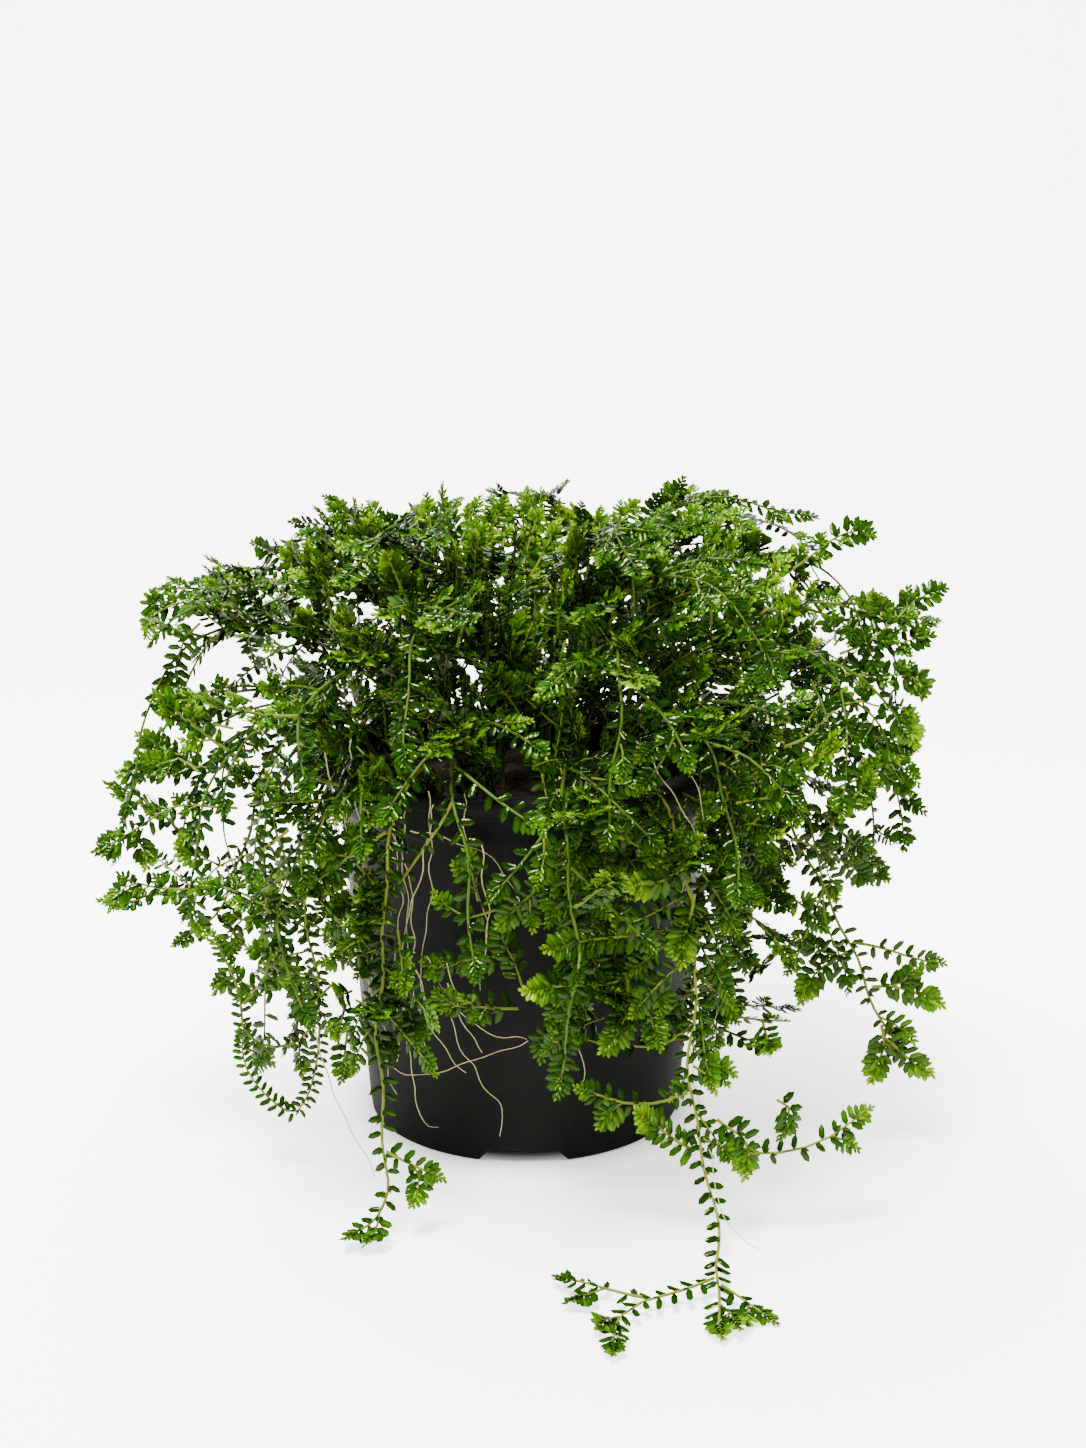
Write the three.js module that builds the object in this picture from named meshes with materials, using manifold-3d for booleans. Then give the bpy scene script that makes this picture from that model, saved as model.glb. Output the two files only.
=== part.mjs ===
// A potted spikemoss (Selaginella): a low mound of flat, forking leafy stems over a black nursery pot.
// Units are millimetres and +Z is up. The model is built round the pot's axis, with the foot on z = 0,
// and is moved at the end so that the origin is the bottom centre of the whole plant's box.
import * as THREE from "three";
import { mergeVertices } from "three/addons/utils/BufferGeometryUtils.js";
import Module from "manifold-3d";

const wasm = await Module();
wasm.setup();

// ---------------------------------------------------------------- driving dimensions
const POT = {
  height: 105,
  lipRadius: 60, // outer edge of the turned-down lip
  lipDrop: 4, // height of the lip's outer band
  bandRadius: 53.8, // wall just under the lip
  bandHeight: 14, // the slightly wider band at the top of the wall
  bandStep: 0.9, // how far that band stands out from the wall
  footRadius: 45.3,
  footWidth: 3.4, // width of the ring that the pot stands on
  wall: 1.3,
  floorHeight: 6, // underside of the pot's floor
  segments: 32,
};
const NOTCH = { bottom: 25, top: 18.5, height: 3.7 }; // drainage notches in the foot ring
const DRAIN = { count: 4, radius: 4, ring: 24, sides: 6 };
const SOIL = { gap: 0.4, edge: 94, crown: 98, segments: 16 };
const STEM = { half: 0.75, hole: 0.35 }; // half width, and clearance of its hole in the soil
const LEAF = { half: 0.31, shoulder: 0.55, flare: 16, sweep: 52 }; // half thickness and form of a leaflet
const DEG = Math.PI / 180;

const material = (hex, roughness) =>
  new THREE.MeshStandardMaterial({ color: hex, roughness, metalness: 0 });
const LOOK = {
  pot: material(0x26272a, 0.55),
  soil: material(0x2a1c12, 0.95),
  leaf: material(0x2f7a1c, 0.4),
};

// ---------------------------------------------------------------- solids
// A closed three.js geometry as a manifold solid, and back.
function solidOf(geometry) {
  const bare = geometry.index ? geometry.toNonIndexed() : geometry.clone();
  const only = new THREE.BufferGeometry();
  only.setAttribute("position", bare.getAttribute("position"));
  const merged = mergeVertices(only, 1e-4);
  return new wasm.Manifold(
    new wasm.Mesh({
      numProp: 3,
      vertProperties: merged.attributes.position.array,
      triVerts: new Uint32Array(merged.index.array),
    }),
  );
}

function geometryOf(solid) {
  const mesh = solid.getMesh();
  const geometry = new THREE.BufferGeometry();
  geometry.setAttribute("position", new THREE.BufferAttribute(mesh.vertProperties, 3));
  geometry.setIndex(new THREE.BufferAttribute(mesh.triVerts, 1));
  geometry.computeVertexNormals();
  return geometry;
}

const turned = (outline, segments) =>
  new THREE.LatheGeometry(
    outline.map(([r, z]) => new THREE.Vector2(r, z)),
    segments,
  ).rotateX(Math.PI / 2);

// ---------------------------------------------------------------- pot
const wallRadius = (z) =>
  POT.footRadius +
  ((POT.bandRadius - POT.bandStep - POT.footRadius) * z) / (POT.height - POT.lipDrop);

function potSolid() {
  const under = POT.height - POT.lipDrop;
  const step = POT.height - POT.bandHeight;
  const floor = POT.floorHeight + POT.wall;
  const outline = [
    [0, POT.floorHeight],
    [POT.footRadius - POT.footWidth, POT.floorHeight],
    [POT.footRadius - POT.footWidth, 0],
    [POT.footRadius, 0],
    [wallRadius(step), step],
    [wallRadius(step) + POT.bandStep, step + 1],
    [POT.bandRadius, under],
    [POT.lipRadius, under],
    [POT.lipRadius, POT.height - 0.8],
    [POT.lipRadius - 0.8, POT.height],
    [POT.bandRadius - POT.wall, POT.height],
    [wallRadius(floor) - POT.wall, floor],
    [0, floor],
  ];
  let pot = solidOf(turned(outline, POT.segments));
  const notch = new THREE.Shape([
    new THREE.Vector2(-NOTCH.bottom / 2, -1),
    new THREE.Vector2(NOTCH.bottom / 2, -1),
    new THREE.Vector2(NOTCH.bottom / 2, 0),
    new THREE.Vector2(NOTCH.top / 2, NOTCH.height),
    new THREE.Vector2(-NOTCH.top / 2, NOTCH.height),
    new THREE.Vector2(-NOTCH.bottom / 2, 0),
  ]);
  const through = 2 * POT.lipRadius;
  for (const turn of [0, 90]) {
    const bar = new THREE.ExtrudeGeometry(notch, { depth: through, bevelEnabled: false });
    bar.translate(0, 0, -through / 2).rotateX(Math.PI / 2).rotateZ(turn * DEG);
    pot = pot.subtract(solidOf(bar));
  }
  for (let i = 0; i < DRAIN.count; i++) {
    const angle = ((i + 0.5) * 360 * DEG) / DRAIN.count;
    const drill = new THREE.CylinderGeometry(DRAIN.radius, DRAIN.radius, 4 * POT.wall, DRAIN.sides);
    drill.rotateX(Math.PI / 2);
    drill.translate(DRAIN.ring * Math.cos(angle), DRAIN.ring * Math.sin(angle), floor - POT.wall / 2);
    pot = pot.subtract(solidOf(drill));
  }
  return pot;
}

// ---------------------------------------------------------------- soil
const soilTop = (r) => SOIL.crown - (SOIL.crown - SOIL.edge) * (r / 50) ** 2;

function soilSolid(roots) {
  const floor = POT.floorHeight + POT.wall + SOIL.gap;
  const inner = (z) => wallRadius(z) - POT.wall - SOIL.gap;
  const outline = [
    [0, floor],
    [inner(floor), floor],
    [inner(SOIL.edge), soilTop(inner(SOIL.edge))],
    [34, soilTop(34)],
    [0, soilTop(0)],
  ];
  let soil = solidOf(turned(outline, SOIL.segments));
  const side = 2 * (STEM.half + STEM.hole);
  for (const { spot, T, B, N } of roots) {
    const hole = new THREE.BoxGeometry(side, side, 30).translate(0, 0, 15 - STEM.hole);
    hole.applyMatrix4(new THREE.Matrix4().makeBasis(B, N, T).setPosition(spot));
    soil = soil.subtract(solidOf(hole));
  }
  return soil;
}

// ---------------------------------------------------------------- seeded draws
function draws(seed) {
  let state = seed;
  return (low, high) => {
    state = (state * 1664525 + 1013904223) % 4294967296;
    return low + ((high - low) * state) / 4294967296;
  };
}

// ---------------------------------------------------------------- stem lines
// A smooth line through the points, as spots a millimetre apart with a frame each: T along the stem, B
// across the leafy sheet and N out of its upper side. B is given at the root, or at the tip of a trail,
// and is carried along the stem without twist. The roll comes in over the stem's first stretch.
const SPACING = 1;
const ROLL_IN = 40;

function spotsAlong(points) {
  const corners = points.map((p) => new THREE.Vector3(...p));
  const curve = new THREE.CatmullRomCurve3(corners, false, "centripetal");
  const count = Math.floor(curve.getLength() / SPACING);
  return curve.getSpacedPoints(count);
}

function stemLine({ points, across, atTip, roll }) {
  const spots = spotsAlong(points);
  const last = spots.length - 1;
  const frames = [];
  let side = new THREE.Vector3(...across);
  for (let k = 0; k <= last; k++) {
    const i = atTip ? last - k : k;
    const T = spots[Math.min(i + 1, last)].clone().sub(spots[Math.max(i - 1, 0)]).normalize();
    side = side.clone().addScaledVector(T, -side.dot(T)).normalize();
    const turn = roll * Math.min(1, i / ROLL_IN);
    const B = side.clone().applyAxisAngle(T, turn);
    frames[i] = { spot: spots[i], T, B, N: T.clone().cross(B) };
  }
  return frames;
}

// The point of the bent sheet at u along the stem and v across it, lifted h along its upper side.
function onSheet(line, u, v, h, camber) {
  const place = Math.max(0, Math.min(line.length - 1.001, u / SPACING));
  const i = Math.floor(place);
  const mix = (key) => line[i][key].clone().lerp(line[i + 1][key], place - i);
  const past = u - place * SPACING;
  const N = mix("N").normalize();
  return mix("spot")
    .addScaledVector(mix("T"), past)
    .addScaledVector(mix("B"), v)
    .addScaledVector(N, h - camber * v * v);
}

// ---------------------------------------------------------------- leafy sheets
// A spray is drawn flat as one sheet cut to its ribs: stem strips that fork, with a leaflet on each free
// edge. u runs along the stem, v across it, lift is the height off the sheet and half the half thickness.
class Sheet {
  points = [];
  faces = [];
  outlines = [];
  sites = [];

  point(u, v, half, lift = 0) {
    return this.points.push({ u, v, half, lift }) - 1;
  }

  patch(corners) {
    for (let i = 1; i < corners.length - 1; i++) {
      this.faces.push([corners[0], corners[i], corners[i + 1]]);
    }
    this.outlines.push(corners.map((c) => this.points[c]));
  }

  // Grows a rib out of the edge from left to right, one strip a step, and notes where leaflets can sit.
  rib(left, right, heading, steps) {
    const [start, end] = [this.points[left], this.points[right]];
    let u = (start.u + end.u) / 2;
    let v = (start.v + end.v) / 2;
    steps.forEach((step, i) => {
      heading += step.turn * DEG;
      u += step.length * Math.cos(heading);
      v += step.length * Math.sin(heading);
      const [du, dv] = [-step.half * Math.sin(heading), step.half * Math.cos(heading)];
      const nextLeft = this.point(u + du, v + dv, step.half);
      const nextRight = this.point(u - du, v - dv, step.half);
      this.patch([left, right, nextRight, nextLeft]);
      const edges = [
        { side: 1, a: left, b: nextLeft },
        { side: -1, a: nextRight, b: right },
      ];
      for (const { side, a, b } of edges) {
        if (step.branch?.side === side) {
          this.rib(a, b, heading + side * step.branch.angle * DEG, step.branch.steps);
        } else if (step.leaf) {
          this.sites.push({ a, b, heading, side, length: step.leaf, order: steps.length - i });
        }
      }
      left = nextLeft;
      right = nextRight;
    });
    const length = steps[steps.length - 1].end;
    this.sites.push({ a: left, b: right, heading, side: 0, length, order: 0 });
  }

  // Adds the leaflets that fit, those nearest the tips first. Each is a tooth with one shoulder, and by
  // turns its point stands a little over or under the sheet.
  leaflets(sweep, rise, fall) {
    const ordered = [...this.sites].sort((p, q) => p.order - q.order);
    for (const { a, b, heading, side, length, order } of ordered) {
      const [p, q] = [this.points[a], this.points[b]];
      const root = { u: (p.u + q.u) / 2, v: (p.v + q.v) / 2 };
      const aim = heading + side * sweep * DEG;
      const tip = { u: root.u + length * Math.cos(aim), v: root.v + length * Math.sin(aim) };
      if (side === 0) {
        if (this.blocked([p, q, tip])) continue;
        this.patch([a, b, this.point(tip.u, tip.v, 0)]);
        continue;
      }
      const back = side > 0 ? p : q;
      const out = aim + side * LEAF.flare * DEG;
      const shoulder = {
        u: back.u + LEAF.shoulder * length * Math.cos(out),
        v: back.v + LEAF.shoulder * length * Math.sin(out),
      };
      if (this.blocked(side > 0 ? [p, q, tip, shoulder] : [p, q, shoulder, tip])) continue;
      const lift = (order + (side > 0 ? 1 : 0)) % 2 ? rise : -fall;
      const bend = this.point(shoulder.u, shoulder.v, LEAF.half, lift * 0.4);
      const end = this.point(tip.u, tip.v, 0, lift);
      this.patch(side > 0 ? [bend, a, b, end] : [bend, end, a, b]);
    }
  }

  blocked(outline) {
    return this.outlines.some((other) => crosses(outline, other));
  }
}

// True if two convex outlines overlap. Both are drawn in a little, so that shared corners don't count.
function crosses(one, other) {
  const shrink = (shape, by) => {
    const cu = shape.reduce((s, c) => s + c.u, 0) / shape.length;
    const cv = shape.reduce((s, c) => s + c.v, 0) / shape.length;
    return shape.map((c) => [cu + (c.u - cu) * by, cv + (c.v - cv) * by]);
  };
  const [p, q] = [shrink(one, 0.93), shrink(other, 0.93)];
  for (const shape of [p, q]) {
    for (let i = 0; i < shape.length; i++) {
      const [a, b] = [shape[i], shape[(i + 1) % shape.length]];
      const [nu, nv] = [b[1] - a[1], a[0] - b[0]];
      const spread = (s) => s.map((c) => c[0] * nu + c[1] * nv);
      const [m, n] = [spread(p), spread(q)];
      if (Math.max(...m) < Math.min(...n) || Math.max(...n) < Math.min(...m)) return false;
    }
  }
  return true;
}

// The flat sheet bent along its stem line and given its thickness, as one closed geometry.
function thickened(sheet, line, camber) {
  const at = [];
  const top = [];
  const bottom = [];
  for (const { u, v, half, lift } of sheet.points) {
    top.push(at.push(onSheet(line, u, v, lift + half, camber)) - 1);
    bottom.push(half ? at.push(onSheet(line, u, v, lift - half, camber)) - 1 : at.length - 1);
  }
  const corners = [];
  const tri = (a, b, c) => {
    if (a !== b && b !== c && c !== a) corners.push(a, b, c);
  };
  const edges = new Map();
  for (const [a, b, c] of sheet.faces) {
    tri(top[a], top[b], top[c]);
    tri(bottom[c], bottom[b], bottom[a]);
    for (const [p, q] of [[a, b], [b, c], [c, a]]) {
      if (!edges.delete(`${q}-${p}`)) edges.set(`${p}-${q}`, [p, q]);
    }
  }
  for (const [p, q] of edges.values()) {
    tri(top[q], top[p], bottom[p]);
    tri(top[q], bottom[p], bottom[q]);
  }
  const geometry = new THREE.BufferGeometry();
  geometry.setAttribute(
    "position",
    new THREE.Float32BufferAttribute(corners.flatMap((c) => at[c].toArray()), 3),
  );
  return geometry;
}

// ---------------------------------------------------------------- spray patterns
// Steps of a bare stem, and of a leafy one whose leaflets shrink a little towards its tip.
function bareRun(length, pitch = 14) {
  const count = Math.max(1, Math.round(length / pitch));
  const step = { length: length / count, half: STEM.half, turn: 0 };
  return Array.from({ length: count }, () => ({ ...step }));
}

function leafyRun(length, pitch, leaf, taper = 0.4) {
  const count = Math.max(2, Math.round(length / pitch));
  return Array.from({ length: count }, (_, i) => {
    const share = (i + 0.5) / count;
    return {
      length: length / count,
      leaf: leaf * (1 - taper * share ** 2),
      end: leaf * 0.65,
      half: STEM.half * (1 - 0.8 * taper * share),
      turn: 0,
    };
  });
}

// A short strip that carries a side branch, with a bare step before the branch's first leaflets.
function fork(side, angle, steps, neck = 3.5) {
  const foot = { length: neck, half: STEM.half * 0.85, turn: 0 };
  return { length: 2.4, half: STEM.half, turn: 0, branch: { side, angle, steps: [foot, ...steps] } };
}

const curled = (steps, turn) => steps.map((step) => ({ ...step, turn: step.turn + turn }));

// A spray on its own stem: bare below, then leafy with side branches that alternate and shorten.
function sprayPattern({ reach, bare, pitch, leaf, branches, twig }) {
  const main = leafyRun(reach - bare, pitch, leaf);
  const every = Math.max(1, Math.floor((main.length - 1) / branches));
  const steps = bareRun(bare, 10.5);
  main.forEach((step, i) => {
    const made = Math.floor(i / every);
    if (i % every === 0 && made < branches) {
      const side = made % 2 ? -1 : 1;
      const own = leafyRun(twig * (1 - 0.16 * made), pitch * 0.95, leaf * 0.9);
      steps.push(fork(side, 46, curled(own, -side * 3)));
    }
    steps.push(step);
  });
  return steps;
}

// ---------------------------------------------------------------- layout
// Rings of stems, from the middle of the pot outwards: the line of one stem in (radius, height) from its
// root up, the length of it that is bare, and the bearings of the stems in degrees.
const even = (count, start) => Array.from({ length: count }, (_, i) => start + (i * 360) / count);
const OVER_LIP = [[46, 89], [47.4, 100.5], [52, 109.5], [58.5, 112.5], [66, 110]];
const RINGS = [
  {
    name: "crown",
    seed: 1,
    line: [[9, 93], [12, 120], [20, 146], [36, 163], [56, 171], [74, 167]],
    bare: 58,
    roll: 8,
    bearings: even(5, 12),
  },
  {
    name: "upper",
    seed: 12,
    line: [[17, 92], [20, 117], [30, 140], [50, 155], [74, 160], [95, 151], [102, 140]],
    bare: 52,
    roll: 20,
    bearings: even(8, -18),
  },
  {
    name: "middle",
    seed: 73,
    line: [[28, 91], [32, 111], [45, 130], [67, 143], [91, 142], [105, 126], [109, 112]],
    bare: 54,
    roll: 20,
    bearings: even(9, 2),
  },
  {
    name: "lower",
    seed: 44,
    line: [[38, 90], [43, 106], [58, 122], [80, 128], [100, 117], [109, 94]],
    bare: 50,
    roll: 20,
    bearings: even(9, 22),
  },
  {
    name: "skirt",
    seed: 45,
    line: [[46, 89], [47.4, 100.5], [54, 112], [74, 117], [91, 104], [99, 82], [101, 58]],
    bare: 46,
    roll: 16,
    bearings: even(9, -80),
  },
  {
    name: "hanging",
    seed: 16,
    line: [...OVER_LIP, [74, 99], [76, 80], [73, 60], [70, 42]],
    bare: 44,
    roll: 0,
    bearings: [-44, -78, -153, 148, 92, 30],
  },
];
const SHAPE = { twig: 19, branches: 3, leaf: 14.5, pitch: 10, camber: 0.006, rise: 3, fall: 2 };

// The mound leans: its stems stand higher towards +X and reach further out and down towards -X.
const leanOf = (bearing) => ({ lift: 8 * Math.cos(bearing), reach: 1 - 0.02 * Math.cos(bearing) });

function ringSprays(ring) {
  const draw = draws(ring.seed);
  return ring.bearings.map((degrees, i) => {
    const bearing = (degrees + draw(-4, 4)) * DEG;
    const drift = draw(-7, 7) * DEG;
    const reach = draw(0.95, 1.05) * leanOf(bearing).reach;
    const lift = draw(-1.5, 1.5) + (i % 2 ? 3 : -3) + leanOf(bearing).lift;
    const [footRadius] = ring.line[0];
    const last = ring.line.length - 1;
    const points = ring.line.map(([r, z], k) => {
      const share = Math.max(0, (k - 2) / (last - 2));
      const radius = footRadius + (r - footRadius) * (1 + (reach - 1) * share);
      const way = bearing + drift * share * share;
      return [radius * Math.cos(way), radius * Math.sin(way), z + lift * share];
    });
    return {
      ...SHAPE,
      name: `${ring.name}_spray_${String(i + 1).padStart(2, "0")}`,
      points,
      across: [-Math.sin(bearing), Math.cos(bearing), 0],
      roll: (ring.roll + draw(-5, 5)) * DEG,
      pattern: (length) =>
        sprayPattern({ ...SHAPE, bare: ring.bare, reach: length }),
    };
  });
}

// Single stems that leave the mound: over the lip at a bearing, then along a route of their own. across is
// the direction across the leafy sheet at the tip.
const overLip = (bearing) =>
  OVER_LIP.map(([r, z]) => [r * Math.cos(bearing * DEG), r * Math.sin(bearing * DEG), z]);

const TRAILS = [
  {
    name: "trail_front_right",
    bearing: -61,
    route: [[38, -70, 102], [41, -75, 85], [42, -76.5, 60], [43, -82, 36], [45, -90, 15], [47, -101, 4],
      [47, -111, 2.6], [46, -124, 2.4], [45, -142, 2.4]],
    across: [1, 0, 0],
    pattern: () => [
      ...bareRun(34, 9),
      ...leafyRun(84, 8.4, 5, 0),
      fork(-1, 70, curled(leafyRun(18, 7, 8.5), -14), 5),
      ...leafyRun(9, 8, 5, 0),
      fork(1, 60, curled(leafyRun(35, 7, 8.5), 12), 5),
      ...leafyRun(37, 8.4, 5, 0),
      fork(-1, 50, [
        ...curled(leafyRun(12, 6, 6, 0), -8),
        fork(-1, 40, curled(leafyRun(14, 7, 9), -6)),
        ...curled(leafyRun(16, 7, 9), 26),
      ], 5),
      fork(1, 50, leafyRun(8, 6, 7)),
      ...leafyRun(12, 6, 9),
    ],
  },
  {
    name: "trail_front_left",
    bearing: -115,
    route: [[-30, -68, 103], [-34, -75, 86], [-35, -77, 62], [-34.5, -78, 38], [-35, -81, 20],
      [-34, -84, 9], [-34, -89, 4], [-36, -96, 2.6], [-38, -103, 2.6]],
    across: [1, 0, 0],
    pattern: () => [
      ...bareRun(34, 9),
      ...leafyRun(17, 8.4, 8, 0),
      fork(-1, 50, leafyRun(16, 8, 10)),
      ...leafyRun(77, 8.4, 5, 0),
      fork(1, 58, leafyRun(8, 6, 6)),
      ...leafyRun(8, 8, 5, 0),
      ...curled(leafyRun(14, 6, 7.5), -12),
    ],
  },
  {
    name: "trail_left_loop",
    bearing: -137,
    route: [[-52, -50, 104], [-55, -54, 88], [-55, -55, 62], [-54, -55, 40], [-54, -55, 20], [-54, -55, 5]],
    across: [1, 0, 0],
    pattern: () => [
      ...bareRun(34, 9),
      ...leafyRun(17, 8.4, 8, 0),
      fork(1, 46, leafyRun(16, 8, 10)),
      ...leafyRun(52, 8.4, 6, 0),
      ...curled(leafyRun(30, 6, 7, 0.2), -34),
      fork(-1, 50, leafyRun(9, 6, 7)),
      ...leafyRun(14, 6, 8),
    ],
  },
  {
    name: "trail_right",
    bearing: -26,
    route: [[68, -33, 99], [75, -36, 82], [82, -38, 71], [89, -38, 60], [93, -38, 48], [97, -38, 37],
      [102, -38, 26]],
    across: [0.9, 0, 0.4],
    pattern: () => [
      ...bareRun(54, 10),
      ...leafyRun(24, 8, 7, 0),
      fork(-1, 50, leafyRun(14, 7, 9)),
      ...leafyRun(14, 7, 8, 0),
      fork(1, 56, leafyRun(16, 8, 9)),
      ...leafyRun(14, 7, 8, 0),
      ...leafyRun(16, 7, 9),
    ],
  },
  {
    name: "trail_left",
    bearing: 189,
    route: [[-72, -13, 98], [-78, -15, 81], [-87, -15, 69], [-98, -15, 66], [-116, -15, 64]],
    across: [0, -0.8, -0.6],
    pattern: () => [
      ...bareRun(64, 10),
      ...leafyRun(14, 7, 8, 0),
      fork(1, 46, leafyRun(14, 7, 9)),
      ...leafyRun(8, 7, 8, 0),
      fork(-1, 46, leafyRun(14, 7, 9)),
      ...leafyRun(20, 7, 9),
    ],
  },
];

const trailSprays = TRAILS.map(({ name, bearing, route, across, pattern }) => ({
  name,
  points: [...overLip(bearing), ...route],
  across,
  atTip: true,
  roll: 0,
  camber: 0,
  rise: 1.6,
  fall: 0,
  pattern,
}));

// ---------------------------------------------------------------- assembly
function leafySolid(spray, line) {
  const sheet = new Sheet();
  const left = sheet.point(0, STEM.half, STEM.half);
  const right = sheet.point(0, -STEM.half, STEM.half);
  const reach = (line.length - 1) * SPACING - 6;
  sheet.rib(left, right, 0, spray.pattern(reach));
  sheet.leaflets(LEAF.sweep, spray.rise, spray.fall);
  return solidOf(thickened(sheet, line, spray.camber));
}

const plant = new THREE.Group();
const sprays = [...RINGS.flatMap(ringSprays), ...trailSprays];
const lines = sprays.map(stemLine);

function addPart(name, solid, look) {
  const mesh = new THREE.Mesh(geometryOf(solid), look);
  mesh.name = name;
  plant.add(mesh);
}

addPart("pot", potSolid(), LOOK.pot);
addPart("soil", soilSolid(lines.map((line) => line[0])), LOOK.soil);
sprays.forEach((spray, i) => addPart(spray.name, leafySolid(spray, lines[i]), LOOK.leaf));

const box = new THREE.Box3().setFromObject(plant);
plant.position.set(-(box.min.x + box.max.x) / 2, -(box.min.y + box.max.y) / 2, 0);

export default plant;
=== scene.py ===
"""The finished look of a potted spikemoss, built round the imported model.

Lengths are in millimetres round the pot's axis while things are laid out, with the foot on z = 0, and are
turned into metres in the model's own frame when a mesh is made.
"""

import math

import bmesh
import bpy
import numpy as np
from mathutils import Matrix, Vector


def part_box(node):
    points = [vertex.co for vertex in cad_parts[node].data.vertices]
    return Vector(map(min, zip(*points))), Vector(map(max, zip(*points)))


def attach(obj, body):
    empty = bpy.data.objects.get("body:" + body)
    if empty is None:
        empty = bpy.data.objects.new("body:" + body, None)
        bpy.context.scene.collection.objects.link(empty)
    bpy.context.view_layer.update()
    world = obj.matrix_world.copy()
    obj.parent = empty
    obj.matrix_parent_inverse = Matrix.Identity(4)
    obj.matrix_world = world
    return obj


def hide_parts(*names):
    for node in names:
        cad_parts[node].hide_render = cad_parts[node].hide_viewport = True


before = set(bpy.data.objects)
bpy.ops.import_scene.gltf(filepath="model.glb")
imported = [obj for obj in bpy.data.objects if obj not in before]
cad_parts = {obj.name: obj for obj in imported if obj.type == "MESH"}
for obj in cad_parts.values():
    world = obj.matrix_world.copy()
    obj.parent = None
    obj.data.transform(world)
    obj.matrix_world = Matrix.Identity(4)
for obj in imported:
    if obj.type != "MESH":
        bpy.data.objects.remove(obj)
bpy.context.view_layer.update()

MM = 0.001
pot_low, pot_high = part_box("pot")
POT_AXIS = np.array([(pot_low.x + pot_high.x) / 2, (pot_low.y + pot_high.y) / 2, 0.0])

# ---- the plant's layout, as in the solids
OVER_LIP = [(46, 89), (47.4, 100.5), (52, 109.5), (58.5, 112.5), (66, 110)]


def even(count, start):
    return [start + i * 360 / count for i in range(count)]


RINGS = [
    dict(name="crown", seed=1, bare=58, roll=8, bearings=even(5, 12),
         line=[(9, 93), (12, 120), (20, 146), (36, 163), (56, 171), (74, 167)]),
    dict(name="upper", seed=12, bare=52, roll=20, bearings=even(8, -18),
         line=[(17, 92), (20, 117), (30, 140), (50, 155), (74, 160), (95, 151), (102, 140)]),
    dict(name="middle", seed=73, bare=54, roll=20, bearings=even(9, 2),
         line=[(28, 91), (32, 111), (45, 130), (67, 143), (91, 142), (105, 126), (109, 112)]),
    dict(name="lower", seed=44, bare=50, roll=20, bearings=even(9, 22),
         line=[(38, 90), (43, 106), (58, 122), (80, 128), (100, 117), (109, 94)]),
    dict(name="skirt", seed=45, bare=46, roll=16, bearings=even(9, -80),
         line=[(46, 89), (47.4, 100.5), (54, 112), (74, 117), (91, 104), (99, 82), (101, 58)]),
    dict(name="hanging", seed=16, bare=44, roll=0, bearings=[-44, -78, -153, 148, 92, 30],
         line=[*OVER_LIP, (74, 99), (76, 80), (73, 60), (70, 42)]),
]
STEM_HALF = 0.75  # half a stem's width in its sheet
TRAIL_BARE = 34  # the leafless foot of a trail
SHAPE = dict(twig=19, branches=3, leaf=14.5, pitch=10)
CAMBER = 0.006  # how much a sheet bends across
SWEEP = math.radians(52)  # from a rib to its leafy shoots


def draws(seed):
    """Seeded draws, the same ones that lay out the solids."""
    state = seed

    def draw(low, high):
        nonlocal state
        state = (state * 1664525 + 1013904223) % 4294967296
        return low + (high - low) * state / 4294967296

    return draw


def bare_run(length, pitch=14.0):
    count = max(1, round(length / pitch))
    return [dict(length=length / count, half=STEM_HALF, turn=0.0) for _ in range(count)]


def leafy_run(length, pitch, leaf, taper=0.4):
    count = max(2, round(length / pitch))
    steps = []
    for i in range(count):
        share = (i + 0.5) / count
        steps.append(dict(length=length / count, leaf=leaf * (1 - taper * share**2), end=leaf * 0.65,
                          half=STEM_HALF * (1 - 0.8 * taper * share), turn=0.0))
    return steps


def fork(side, angle, steps, neck=3.5):
    foot = dict(length=neck, half=STEM_HALF * 0.85, turn=0.0)
    return dict(length=2.4, half=STEM_HALF, turn=0.0, branch=(side, angle, [foot, *steps]))


def curled(steps, turn):
    return [dict(step, turn=step["turn"] + turn) for step in steps]


def spray_pattern(reach, bare, twig, branches, leaf, pitch):
    """A stem that is bare below, then leafy with side branches that alternate and shorten."""
    main = leafy_run(reach - bare, pitch, leaf)
    every = max(1, (len(main) - 1) // branches)
    steps = bare_run(bare, 10.5)
    for i, step in enumerate(main):
        made = i // every
        if i % every == 0 and made < branches:
            side = -1 if made % 2 else 1
            own = leafy_run(twig * (1 - 0.16 * made), pitch * 0.95, leaf * 0.9)
            steps.append(fork(side, 46, curled(own, -side * 3)))
        steps.append(step)
    return steps


def trail_front_right():
    twig_end = [
        *curled(leafy_run(12, 6, 6, 0), -8),
        fork(-1, 40, curled(leafy_run(14, 7, 9), -6)),
        *curled(leafy_run(16, 7, 9), 26),
    ]
    return [
        *bare_run(TRAIL_BARE, 9), *leafy_run(84, 8.4, 5, 0),
        fork(-1, 70, curled(leafy_run(18, 7, 8.5), -14), 5), *leafy_run(9, 8, 5, 0),
        fork(1, 60, curled(leafy_run(35, 7, 8.5), 12), 5), *leafy_run(37, 8.4, 5, 0),
        fork(-1, 50, twig_end, 5), fork(1, 50, leafy_run(8, 6, 7)), *leafy_run(12, 6, 9),
    ]


def trail_front_left():
    return [
        *bare_run(TRAIL_BARE, 9), *leafy_run(17, 8.4, 8, 0), fork(-1, 50, leafy_run(16, 8, 10)),
        *leafy_run(77, 8.4, 5, 0), fork(1, 58, leafy_run(8, 6, 6)), *leafy_run(8, 8, 5, 0),
        *curled(leafy_run(14, 6, 7.5), -12),
    ]


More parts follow.
